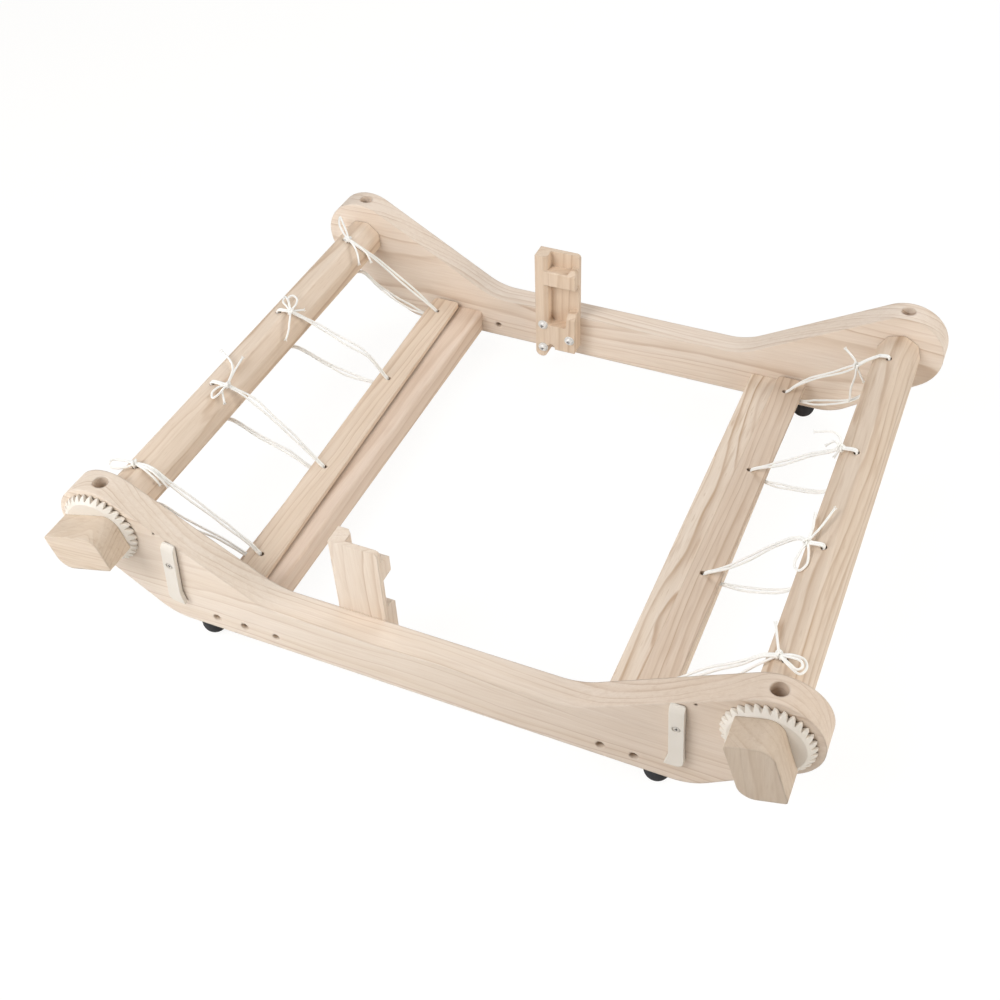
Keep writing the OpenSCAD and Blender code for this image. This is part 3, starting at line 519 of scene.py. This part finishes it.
def cord_twist_group():
    """The twisted plies of a cord, from the distance along it and the angle round it."""
    group, given, result = new_group(
        "cord_twist", {"Pitch": 0.005, "Plies": 3.0}, ("Height", "Groove"))
    run = add_node(group, "Attribute", attribute_name="run").outputs["Fac"]
    around = add_node(group, "UVMap", uv_map="UVMap").outputs[0]
    angle = add_node(group, "SeparateXYZ", {0: around}).outputs[0]
    turns = math_node(group, "ADD", math_node(group, "DIVIDE", run, given["Pitch"]), angle)
    plies = product(group, turns, given["Plies"])
    wave = math_node(group, "ABSOLUTE", math_node(group, "SINE", product(group, plies, math.pi)))
    fuzz = noise_node(group, object_point(group), (2600, 2600, 2600))
    group.links.new(math_node(group, "ADD", wave, product(group, fuzz, 0.2)), result["Height"])
    group.links.new(ramp(group, wave, ((0.0, 1.0), (0.5, 0.0))), result["Groove"])


# ------------------------ materials

def new_material(name, roughness=0.5, metallic=0.0):
    material = bpy.data.materials.new(name)
    material.use_nodes = True
    tree = material.node_tree
    shader = tree.nodes["Principled BSDF"].inputs
    shader["Roughness"].default_value = roughness
    shader["Metallic"].default_value = metallic
    return material, tree, shader


def raise_surface(tree, shader, height, strength, distance, normal=None):
    """Bumps the surface, over its softened edges where their normal is given."""
    inputs = {"Height": height, "Strength": strength, "Distance": distance}
    if normal is not None:
        inputs["Normal"] = normal
    bump = add_node(tree, "Bump", inputs)
    tree.links.new(bump.outputs[0], shader["Normal"])


def speckled(tree, shader, size, smooth, rough):
    """Unevenness of the given size in metres, whose fine part varies the gloss."""
    speckle = use_group(tree, "surface_speckle", {"Vector": object_point(tree), "Size": size})
    tree.links.new(grey_to(tree, speckle["Fine"], smooth, rough), shader["Roughness"])
    return speckle


def grain_point(tree, node):
    """The point in the node's tree: the grain's axis turned onto x, the pith at y = z = 0."""
    along, pith, spacing, lean = GRAIN[node][:4]
    low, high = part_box(node)
    turns = {"x": Matrix.Identity(3), "y": Matrix.Rotation(-math.pi / 2, 3, "Z"),
             "z": Matrix.Rotation(math.pi / 2, 3, "Y")}
    turn = Matrix.Rotation(math.radians(lean), 3, "Y") @ Matrix.Rotation(
        math.radians(0.6 * lean), 3, "Z") @ turns[along]
    offset = Vector((0.37 * spacing, -pith[0], -pith[1])) * MM - turn @ ((low + high) / 2)
    return add_node(
        tree, "Mapping",
        {"Vector": object_point(tree), "Rotation": turn.to_euler("XYZ"), "Location": offset},
        vector_type="POINT").outputs[0]


def hole_shade_mask(tree, node, hollow):
    """Painted shade in the wood's holes and narrow gaps, and how dark; on a warp stick not the
    edges that lie by the rail.
    """
    shut = product(tree, hollow, 0.9)
    if not node.endswith("_stick"):
        return shut
    low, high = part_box(node)
    middle, half = (low + high) / 2, (high - low) / 2
    away = math_node(
        tree, "ABSOLUTE", math_node(tree, "SUBTRACT", object_axes(tree)[0], middle[0]))
    return product(tree, shut, math_node(tree, "LESS_THAN", away, half[0] - STICK_RIM))


def pine_material(node):
    """Sawn and sanded pine whose lines follow the node's own place in its tree."""
    wood = bpy.context.scene.loom_wood
    _, _, spacing, _, wander, lines, streaks, tone = GRAIN[node]
    material, tree, shader = new_material("pine_" + node, 0.55)
    grain = use_group(tree, "sawn_grain", {
        "Vector": grain_point(tree, node), "Ring Spacing": spacing * MM, "Wander": wander * MM})
    edge = use_group(tree, "soft_edge", {
        "Radius": wood.edge * (1.7 if node.endswith(("_side", "_handle")) else 1),
        "Reach": 0.002 if node.endswith("_rail") else 0.005})
    pale, line = tinted(wood.pale, tone), tinted(wood.line, tone)
    warm = tinted(pale, (0.93, 0.885, 0.83))
    colour = pale
    # Grain tones, and last a painted highlight that makes the soft edges paler
    for mask, strength, hue in (
            (grain["Shade"], 0.55, warm), (grain["Bands"], 0.5, warm),
            (grain["Lines"], wood.contrast * lines, line), (grain["Streaks"], 0.34 * streaks, line),
            (grain["Flecks"], 0.25 * streaks, line), (edge["Edge"], 0.35, tinted(pale, 1.1))):
        colour = mixed_colour(tree, product(tree, mask, strength), colour, hue)
    colour = mixed_colour(tree, grey_to(tree, grain["Fibres"], 0.22, 0.0), colour, line)
    # Painted shade: the board gets darker along x
    if node in SHADE_ALONG_X:
        start, stop, hue = SHADE_ALONG_X[node]
        share = share_of(tree, object_axes(tree)[0], start * MM, stop * MM)
        colour = mixed_colour(tree, share, colour, (*hue, 1), "MULTIPLY")
    # Painted shade in holes and narrow gaps, from the occlusion mask
    colour = mixed_colour(
        tree, hole_shade_mask(tree, node, edge["Hollow"]), colour, tinted(wood.line, 0.5))
    tree.links.new(colour, shader["Base Color"])
    tree.links.new(grey_to(tree, grain["Fibres"], 0.62, 0.5), shader["Roughness"])
    relief = math_node(
        tree, "SUBTRACT", product(tree, grain["Fibres"], 0.6), product(tree, grain["Flecks"], 0.5))
    raise_surface(tree, shader, relief, 0.28, 0.00018, edge["Normal"])
    return material


def nylon_material():
    """Moulded cream nylon, softly uneven, with a painted highlight along its edges."""
    nylon = bpy.context.scene.loom_fittings.nylon
    _, tree, shader = new_material("cream_nylon", 0.4)
    speckle = speckled(tree, shader, 0.0022, 0.34, 0.5)
    edge = use_group(tree, "soft_edge", {"Radius": 0.0009})
    base = mixed_colour(
        tree, speckle["Broad"], tinted(nylon, 1), tinted(nylon, (0.95, 0.93, 0.89)))
    # Painted highlight along the edges
    lit = mixed_colour(tree, product(tree, edge["Edge"], 0.6), base, tinted(nylon, 1.16))
    tree.links.new(lit, shader["Base Color"])
    raise_surface(tree, shader, speckle["Fine"], 0.12, 0.0002, edge["Normal"])


def zinc_material():
    """Zinc plate on steel, with painted shade in its recesses and gaps."""
    zinc = bpy.context.scene.loom_fittings.zinc
    _, tree, shader = new_material("zinc_plate", 0.42, 0.1)
    speckle = speckled(tree, shader, 0.0008, 0.24, 0.46)
    edge = use_group(tree, "soft_edge", {"Radius": 0.0003, "Reach": 0.0022})
    base = mixed_colour(
        tree, grey_to(tree, speckle["Broad"], 0.0, 0.8), tinted(zinc, 1), tinted(zinc, 0.78))
    # Painted shade in recesses and gaps, from the occlusion mask
    shut = math_node(tree, "MULTIPLY", edge["Hollow"], 3.0, clamp=True)
    tree.links.new(mixed_colour(tree, shut, base, tinted(zinc, 0.12)), shader["Base Color"])
    tree.links.new(edge["Normal"], shader["Normal"])


def enamel_material():
    """White enamel on the pawls' screws, with painted shade in the cross of the head."""
    nylon = bpy.context.scene.loom_fittings.nylon
    _, tree, shader = new_material("white_enamel", 0.35)
    speckle = speckled(tree, shader, 0.0012, 0.28, 0.42)
    edge = use_group(tree, "soft_edge", {"Radius": 0.0004})
    base = mixed_colour(tree, speckle["Broad"], tinted(nylon, 1), tinted(nylon, 0.86))
    # Both screws lie alike on either side of the loom's middle
    low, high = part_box("back_pawl_screw")
    centre = (low + high) / 2
    x, y, z = object_axes(tree)
    aside = math_node(tree, "SUBTRACT", math_node(tree, "ABSOLUTE", x), abs(centre[0]))
    over = math_node(tree, "SUBTRACT", z, centre[2])
    reach = math_node(tree, "SQRT", math_node(
        tree, "ADD", product(tree, aside, aside), product(tree, over, over)))
    # Painted shade in the head's cross recess
    cross = product(
        tree, math_node(tree, "GREATER_THAN", y, low[1] + CROSS_DEPTH),
        math_node(tree, "LESS_THAN", reach, CROSS_RADIUS))
    tree.links.new(mixed_colour(tree, cross, base, CROSS_SHADE), shader["Base Color"])
    tree.links.new(edge["Normal"], shader["Normal"])


def rubber_material():
    """Matt black rubber with a little dust."""
    rubber = bpy.context.scene.loom_fittings.rubber
    _, tree, shader = new_material("black_rubber", 0.55)
    speckle = speckled(tree, shader, 0.0011, 0.42, 0.62)
    dusty = [c * 2.4 + 0.01 for c in rubber] + [1]
    base = mixed_colour(
        tree, grey_to(tree, speckle["Broad"], 0.1, 0.9), tinted(rubber, 1), dusty)
    tree.links.new(base, shader["Base Color"])
    raise_surface(tree, shader, speckle["Fine"], 0.2, 0.0002)


def cotton_material():
    """Twisted white cotton cord, with painted shade between its plies, where it hangs free and
    where it lies against wood.
    """
    ties = bpy.context.scene.loom_ties
    _, tree, shader = new_material("cotton_cord", 0.88)
    twist = use_group(tree, "cord_twist", {"Pitch": ties.pitch})
    edge = use_group(tree, "soft_edge", {"Radius": 0.0002, "Reach": 0.0032})
    # Painted shade in the grooves between the plies
    base = mixed_colour(
        tree, product(tree, twist["Groove"], 0.14), tinted(ties.cotton, 1),
        tinted(ties.cotton, (0.74, 0.71, 0.67)))
    # Painted shade where the cord hangs free
    x, y, _ = object_axes(tree)
    free = ramp(tree, share_of(tree, math_node(tree, "ABSOLUTE", x), *FREE_CORD_X), FREE_CORD_STOPS)
    near = math_node(tree, "LESS_THAN", y, FREE_CORD_Y)
    free_shaded = mixed_colour(tree, product(tree, free, near), base, FREE_CORD_SHADE)
    # Painted shade where the cord lies against something, from the occlusion mask
    contact_shaded = mixed_colour(tree, product(tree, edge["Hollow"], 0.85), free_shaded, CONTACT_CORD_SHADE)
    tree.links.new(contact_shaded, shader["Base Color"])
    raise_surface(tree, shader, twist["Height"], 0.22, 0.0002)


# ------------------------ cords

def add_object(name, data):
    made = bpy.data.objects.new(name, data)
    bpy.context.scene.collection.objects.link(made)
    return made


def smooth_path(points, step):
    """A smooth line through the points, in steps of about the given length."""
    points = [Vector(p) for p in points]
    ends = [2 * points[0] - points[1]] + points + [2 * points[-1] - points[-2]]
    found = []
    for before, start, stop, after in zip(ends, ends[1:], ends[2:], ends[3:]):
        knots = [0.0]
        for first, second in ((before, start), (start, stop), (stop, after)):
            knots.append(knots[-1] + max((second - first).length, 1e-6) ** 0.5)
        count = max(1, round((stop - start).length / step))
        for i in range(count):
            t = knots[1] + (knots[2] - knots[1]) * i / count
            a1 = before.lerp(start, (t - knots[0]) / (knots[1] - knots[0]))
            a2 = start.lerp(stop, (t - knots[1]) / (knots[2] - knots[1]))
            a3 = stop.lerp(after, (t - knots[2]) / (knots[3] - knots[2]))
            b1 = a1.lerp(a2, (t - knots[0]) / (knots[2] - knots[0]))
            b2 = a2.lerp(a3, (t - knots[1]) / (knots[3] - knots[1]))
            found.append(b1.lerp(b2, (t - knots[1]) / (knots[2] - knots[1])))
    return found + [points[-1]]


def off_roller(points, room):
    """Moves points that lie in the roller out to its surface."""
    least = ROLLER_R + room
    found = []
    for p in points:
        reach = math.hypot(p[0], p[2])
        grow = least / reach if 0 < reach < least else 1.0
        found.append(Vector((p[0] * grow, p[1], p[2] * grow)))
    return found


def in_frame(end, point):
    """A point of a roller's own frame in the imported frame, in metres."""
    x = ENDS[end]["side"] * (ROLLER_X - point[0])
    return Vector((x, point[1] + FRAME_Y, point[2] + ROLLER_Z)) * MM


def cord_tubes(name, end, runs, radius):
    """One mesh of round cords along the runs, which keeps the distance along each cord."""
    curve = bpy.data.curves.new(name, "CURVE")
    curve.dimensions = "3D"
    curve.bevel_depth = radius
    curve.bevel_resolution = 2
    curve.use_fill_caps = True
    lines = [[in_frame(end, p) for p in run] for run in runs]
    for line in lines:
        spline = curve.splines.new("POLY")
        spline.points.add(len(line) - 1)
        for point, place in zip(spline.points, line):
            point.co = (*place, 1)
    holder = add_object(name + "_line", curve)
    bpy.context.view_layer.update()
    shown = holder.evaluated_get(bpy.context.evaluated_depsgraph_get())
    mesh = bpy.data.meshes.new_from_object(shown)
    bpy.data.objects.remove(holder)
    bpy.data.curves.remove(curve)
    mesh.name = name
    bm = bmesh.new()
    bm.from_mesh(mesh)
    bmesh.ops.remove_doubles(bm, verts=bm.verts, dist=1e-6)
    bmesh.ops.recalc_face_normals(bm, faces=bm.faces)
    for face in bm.faces:
        face.smooth = len(face.verts) == 4
    bm.to_mesh(mesh)
    bm.free()
    keep_runs(mesh, lines)
    piece = add_object(name, mesh)
    mesh.materials.clear()
    mesh.materials.append(bpy.data.materials["cotton_cord"])
    return piece


def keep_runs(mesh, lines):
    """Writes each point's distance along its cord, for the twist."""
    samples, lengths = [], []
    for line in lines:
        total = 0.0
        for i, place in enumerate(line):
            total += (place - line[i - 1]).length if i else 0.0
            samples.append(place)
            lengths.append(total)
    tree = KDTree(len(samples))
    for i, place in enumerate(samples):
        tree.insert(place, i)
    tree.balance()
    kept = mesh.attributes.new("run", "FLOAT", "POINT")
    for vertex in mesh.vertices:
        kept.data[vertex.index].value = lengths[tree.find(vertex.co)[1]]


def split_at(points, u):
    """Cuts a line at every crossing of u, and puts a shared point there."""
    parts, part = [], [points[0]]
    for first, second in zip(points, points[1:]):
        if (first[0] - u) * (second[0] - u) < 0:
            cut = first.lerp(second, (u - first[0]) / (second[0] - first[0]))
            part.append(cut)
            parts.append(part)
            part = [cut]
        part.append(second)
    return parts + [part]


def tie_line(name, end):
    """A tie's middle line: its knot, over the stick, through it, and back up through the roller."""
    tie = TIES[name]
    hole_u, hole_y = tie["stick"]
    edge_u = hole_u - ENDS[end]["reach"]
    upper = off_roller([*tie.get("before", []), tie["knot"], *tie["upper"]], STRAND_ROOM)
    # Down through the stick's hole, back under the stick and past its edge
    aside = tie["lower"][-1][1] - hole_y
    through = [
        (hole_u - 3.4, hole_y, STICK_TOP + 1.8), (hole_u - 1.8, hole_y, STICK_TOP + 0.4),
        (hole_u - 1.35, hole_y, (STICK_TOP + STICK_BOTTOM) / 2),
        (hole_u - 1.9, hole_y, STICK_BOTTOM - 0.4), (hole_u - 3.8, hole_y, LOW_W),
        (edge_u + 1.5, hole_y + aside * 0.3, LOW_W),
        (edge_u - 2.5, hole_y + aside * 0.42, LOW_W + 0.3)]
    lower = off_roller(reversed(tie["lower"]), STRAND_ROOM)
    # In at the hole's lower mouth, through the roller's axis and out at the top
    axis = Vector((0, tie["roller_y"], 0))
    lean = math.radians(ENDS[end]["lean"])
    out = Vector((math.sin(lean), 0, math.cos(lean)))
    mouth = ROLLER_R + 1.1
    bore = [axis + out * reach for reach in (-mouth, -16.5, -8, 0, 8, 16.5, mouth)]
    last = off_roller([tie.get("before", [tie["knot"]])[0]], STRAND_ROOM)
    return upper + through + lower + bore + last


def tie_strands(name, end, radius):
    """The two strands of a tie, side by side, and a little apart where they hang free."""
    seed = sum(ord(c) * (i + 3) for i, c in enumerate(name))
    strands = [], []
    for p in smooth_path(tie_line(name, end), STRAND_STEP):
        past = p[0] - FREE_FROM_U
        # The lower strands lie under a line that falls towards the stick
        low = p[2] < -20 - 0.6 * past
        left = (LOW_FREE_TO_U if low else FREE_TO_U) - p[0]
        free = max(0.0, min(past / FREE_RISE, left / FREE_FALL, 1.0))
        drift = noise.noise(Vector((p[0] * 0.04, 3.7 * low, seed)))
        part = free * min(1.0, max(0.1, 0.55 + 1.1 * drift))
        # Nearly touching, and up to a cord's thickness further apart along the free span
        apart = Vector((0, radius * 1.08 + 0.95 * part, 0.3 * free + 0.7 * part))
        strands[0].append(p - apart)
        strands[1].append(p + apart)
    return strands


def is_tied_down(tail):
    return tail[-1][2] < TIED_DOWN_W


def bow_path(tie, points):
    """A smooth line of a tie's bow, which starts at its knot."""
    room = NO_ROOM if "before" in tie else BOW_ROOM
    return off_roller(smooth_path([tie["knot"], *points], BOW_STEP), room)


def tied_tails(tie):
    """The tails that are tied to the lower strands, each cut where the tie parts."""
    return [split_at(bow_path(tie, tail), SPLIT_U) for tail in tie["tails"] if is_tied_down(tail)]


class LOOM_OT_ties(bpy.types.Operator):
    """Makes the eight doubled ties, each in a stick half and a roller half"""

    bl_idname = "loom.ties"
    bl_label = "Warp stick ties"

    def execute(self, context):
        radius = context.scene.loom_ties.diameter / 2
        for name in TIES:
            end = name.split("_")[0]
            runs = [split_at(strand, SPLIT_U) for strand in tie_strands(name, end, radius / MM)]
            if any(len(parts) != 3 for parts in runs):
                raise RuntimeError(f"A strand of {name} doesn't cross its parting twice")
            roller_runs = [part for parts in runs for part in (parts[0], parts[2])]
            outer = cord_tubes(name + "_roller_end", end, roller_runs, radius)
            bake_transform(outer)
            stick_runs = [parts[1] for parts in runs]
            stick_runs += [part for parts in tied_tails(TIES[name]) for part in parts[1:]]
            inner = cord_tubes(name + "_stick_end", end, stick_runs, radius)
            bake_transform(inner)
            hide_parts(name)
            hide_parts(name)
        return {"FINISHED"}


def knot_line(centre, along):
    """A small overhand knot drawn tight round the cord's own direction."""
    turn = Vector((0, 0, 1)).rotation_difference(Vector(along).normalized())
    found = []
    for i in range(KNOT_STEPS + 1):
        angle = 2 * math.pi * i / KNOT_STEPS
        reach = KNOT_REACH + KNOT_SWING * math.cos(3 * angle)
        point = Vector((reach * math.cos(2 * angle), reach * math.sin(2 * angle),
                        KNOT_SWING * math.sin(3 * angle)))
        found.append(Vector(centre) + turn @ point)
    return found


def frayed_end(tail, seed):
    """The loose fibres at a tail's cut end."""
    tip, ahead = tail[-1], (tail[-1] - tail[-3]).normalized()
    side = ahead.orthogonal().normalized()
    other = ahead.cross(side)
    fibres = []
    for i in range(FRAY_FIBRES):
        angle = 2 * math.pi * (i + 0.3 * math.sin(seed + i)) / FRAY_FIBRES
        out = side * math.cos(angle) + other * math.sin(angle)
        reach = FRAY_LENGTH + FRAY_UNEVEN * abs(math.sin(2.3 * seed + 1.7 * i))
        fibres.append([tip - ahead * 0.8 + out * 0.5, tip + ahead * 0.3 * reach + out * 0.75,
                       tip + ahead * reach + out * (0.75 + 0.3 * reach)])
    return fibres


class LOOM_OT_bows(bpy.types.Operator):
    """Makes the knots, loops and loose tails of the ties' bows"""

    bl_idname = "loom.bows"
    bl_label = "Bows"

    def execute(self, context):
        diameter = context.scene.loom_ties.diameter
        for name, tie in TIES.items():
            end = name.split("_")[0]
            knot = tie["knot"]
            away = Vector(tie["upper"][0]) - Vector(knot)
            room = NO_ROOM if "before" in tie else KNOT_ROOM
            runs = [off_roller(knot_line(knot, away), room)]
            runs += [bow_path(tie, [*loop, knot]) for loop in tie["loops"]]
            runs += [parts[0] for parts in tied_tails(tie)]
            fibres = []
            for i, tail in enumerate(tie["tails"], 1):
                if is_tied_down(tail):
                    continue
                path = bow_path(tie, tail)
                length = sum((b - a).length for a, b in zip(path, path[1:])) * MM
                fibres += frayed_end(path, i + knot[1])
                if length < DECLARED_TAIL:
                    runs.append(path)
                    continue
                loose = cord_tubes(f"{name}_tail_{i}", end, [path], diameter / 2)
                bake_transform(loose)
            bow = cord_tubes(name + "_bow", end, runs, diameter / 2)
            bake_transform(bow)
            fray = cord_tubes(name + "_fray", end, fibres, FRAY_RADIUS)
            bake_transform(fray)
        return {"FINISHED"}


# ------------------------ finishes

def dress(name, material):
    """Puts a finish on a CAD node."""
    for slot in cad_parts[name].material_slots:
        slot.material = material


class LOOM_OT_finishes(bpy.types.Operator):
    """Makes the shared grain, edge, speckle and twist patterns and the plain finishes"""

    bl_idname = "loom.finishes"
    bl_label = "Finishes"

    def execute(self, context):
        for make in (
                sawn_grain_group, soft_edge_group, speckle_group, cord_twist_group, nylon_material,
                zinc_material, enamel_material, rubber_material, cotton_material):
            make()
        return {"FINISHED"}


class LOOM_OT_pine(bpy.types.Operator):
    """Gives every wooden part its own sawn pine"""

    bl_idname = "loom.pine"
    bl_label = "Pine parts"

    def execute(self, context):
        for name in GRAIN:
            dress(name, pine_material(name))
        return {"FINISHED"}


class LOOM_OT_fittings(bpy.types.Operator):
    """Finishes the ratchets, pawls, screws, washers, bolts and feet"""

    bl_idname = "loom.fittings"
    bl_label = "Fittings"

    def execute(self, context):
        for finish, endings in FITTINGS.items():
            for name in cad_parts:
                if name.endswith(endings):
                    dress(name, bpy.data.materials[finish])
        return {"FINISHED"}


# ------------------------ camera and stage

class LOOM_OT_camera(bpy.types.Operator):
    """Sets up the camera where the photograph was taken from"""

    bl_idname = "loom.camera"
    bl_label = "Camera"

    def execute(self, context):
        turn, fall, roll = (math.radians(a) for a in CAMERA_ANGLES)
        ahead = Vector((
            -math.sin(turn) * math.cos(fall), math.cos(turn) * math.cos(fall), -math.sin(fall)))
        right = Vector((math.cos(turn), math.sin(turn), 0))
        up = right.cross(ahead)
        side = right * math.cos(roll) + up * math.sin(roll)
        top = up * math.cos(roll) - right * math.sin(roll)
        data = bpy.data.cameras.new("photo_camera")
        data.sensor_fit = "HORIZONTAL"
        data.sensor_width = SENSOR_WIDTH
        data.lens = SENSOR_WIDTH * CAMERA_LENS
        data.shift_x, data.shift_y = CAMERA_SHIFT
        data.clip_start, data.clip_end = 0.05, 60
        place = Matrix((side, top, -ahead)).transposed().to_4x4()
        place.translation = Vector(CAMERA_PLACE) * MM
        camera = add_object("photo_camera", data)
        camera.matrix_world = place
        context.scene.camera = camera
        return {"FINISHED"}


def soft_light(name, place, size, power, tint):
    """A soft box that faces the loom and isn't seen itself."""
    data = bpy.data.lights.new(name, "AREA")
    data.shape = "RECTANGLE"
    data.size, data.size_y = size
    data.energy = power
    data.color = tint
    light = add_object(name, data)
    place = Vector(place)
    facing = (Vector(AIM) - place).to_track_quat("-Z", "Y").to_matrix().to_4x4()
    light.matrix_world = Matrix.Translation(place) @ facing
    light.visible_camera = False


def floor_material(stage):
    """A pale floor; the camera sees it as an even white, the loom gets its bounced light."""
    material, tree, shader = new_material("studio_floor", 0.9)
    faint = noise_node(tree, object_point(tree), (3, 3, 3))
    tint = mixed_colour(
        tree, product(tree, faint, 0.04), tinted(stage.floor, 1), (0.8, 0.8, 0.8, 1))
    seen = add_node(tree, "LightPath").outputs["Is Camera Ray"]
    shader["Specular IOR Level"].default_value = 0.1
    shader["Emission Color"].default_value = (1.0, 0.995, 0.985, 1)
    tree.links.new(mixed_colour(tree, seen, tint, (0.1, 0.1, 0.1, 1)), shader["Base Color"])
    tree.links.new(product(tree, seen, stage.floor_glow), shader["Emission Strength"])
    return material


class LOOM_OT_stage(bpy.types.Operator):
    """Sets a plain pale floor and soft studio light"""

    bl_idname = "loom.stage"
    bl_label = "Stage"

    def execute(self, context):
        stage = context.scene.loom_stage
        context.scene.view_settings.view_transform = "Standard"
        bm = bmesh.new()
        bmesh.ops.create_grid(bm, x_segments=1, y_segments=1, size=FLOOR_SIZE)
        mesh = bpy.data.meshes.new("studio_floor")
        bm.to_mesh(mesh)
        bm.free()
        mesh.materials.append(floor_material(stage))
        floor = add_object("studio_floor", mesh)
        for name, (place, size, tint) in LIGHTS.items():
            soft_light(name + "_light", place, size, getattr(stage, name), tint)
        world = bpy.data.worlds.new("studio_room")
        world.use_nodes = True
        tree = world.node_tree
        room = tree.nodes["Background"].inputs
        room["Color"].default_value = (1.0, 0.995, 0.99, 1)
        # The camera sees the room as pale as the floor
        seen = add_node(tree, "LightPath").outputs["Is Camera Ray"]
        tree.links.new(grey_to(tree, seen, stage.sky, stage.floor_glow), room["Strength"])
        context.scene.world = world
        return {"FINISHED"}


class LOOM_PT_sidebar(bpy.types.Panel):
    """Lists the loom's settings and the steps that dress it"""

    bl_idname = "LOOM_PT_sidebar"
    bl_label = "Rigid heddle loom"
    bl_space_type = "VIEW_3D"
    bl_region_type = "UI"
    bl_category = "Loom"

    def draw(self, context):
        layout = self.layout
        for group in SETTINGS:
            settings = getattr(context.scene, group)
            box = layout.box()
            for prop in settings.bl_rna.properties:
                if prop.identifier not in ("rna_type", "name"):
                    box.prop(settings, prop.identifier)
        for step in STEPS:
            layout.operator(step)


SETTINGS = {
    "loom_wood": LoomWoodSettings,
    "loom_fittings": LoomFittingSettings,
    "loom_ties": LoomTieSettings,
    "loom_stage": LoomStageSettings,
}
OPERATORS = (
    LOOM_OT_camera, LOOM_OT_finishes, LOOM_OT_ties, LOOM_OT_bows, LOOM_OT_pine, LOOM_OT_fittings,
    LOOM_OT_stage,
)
STEPS = [operator.bl_idname for operator in OPERATORS]


def register():
    for cls in (*SETTINGS.values(), *OPERATORS, LOOM_PT_sidebar):
        bpy.utils.register_class(cls)
    for name, cls in SETTINGS.items():
        setattr(bpy.types.Scene, name, bpy.props.PointerProperty(type=cls))


def unregister():
    for name in SETTINGS:
        delattr(bpy.types.Scene, name)
    for cls in reversed((*SETTINGS.values(), *OPERATORS, LOOM_PT_sidebar)):
        bpy.utils.unregister_class(cls)


def main():
    register()
    for step in STEPS:
        group, name = step.split(".")
        getattr(getattr(bpy.ops, group), name)()


if __name__ == "__main__":
    main()
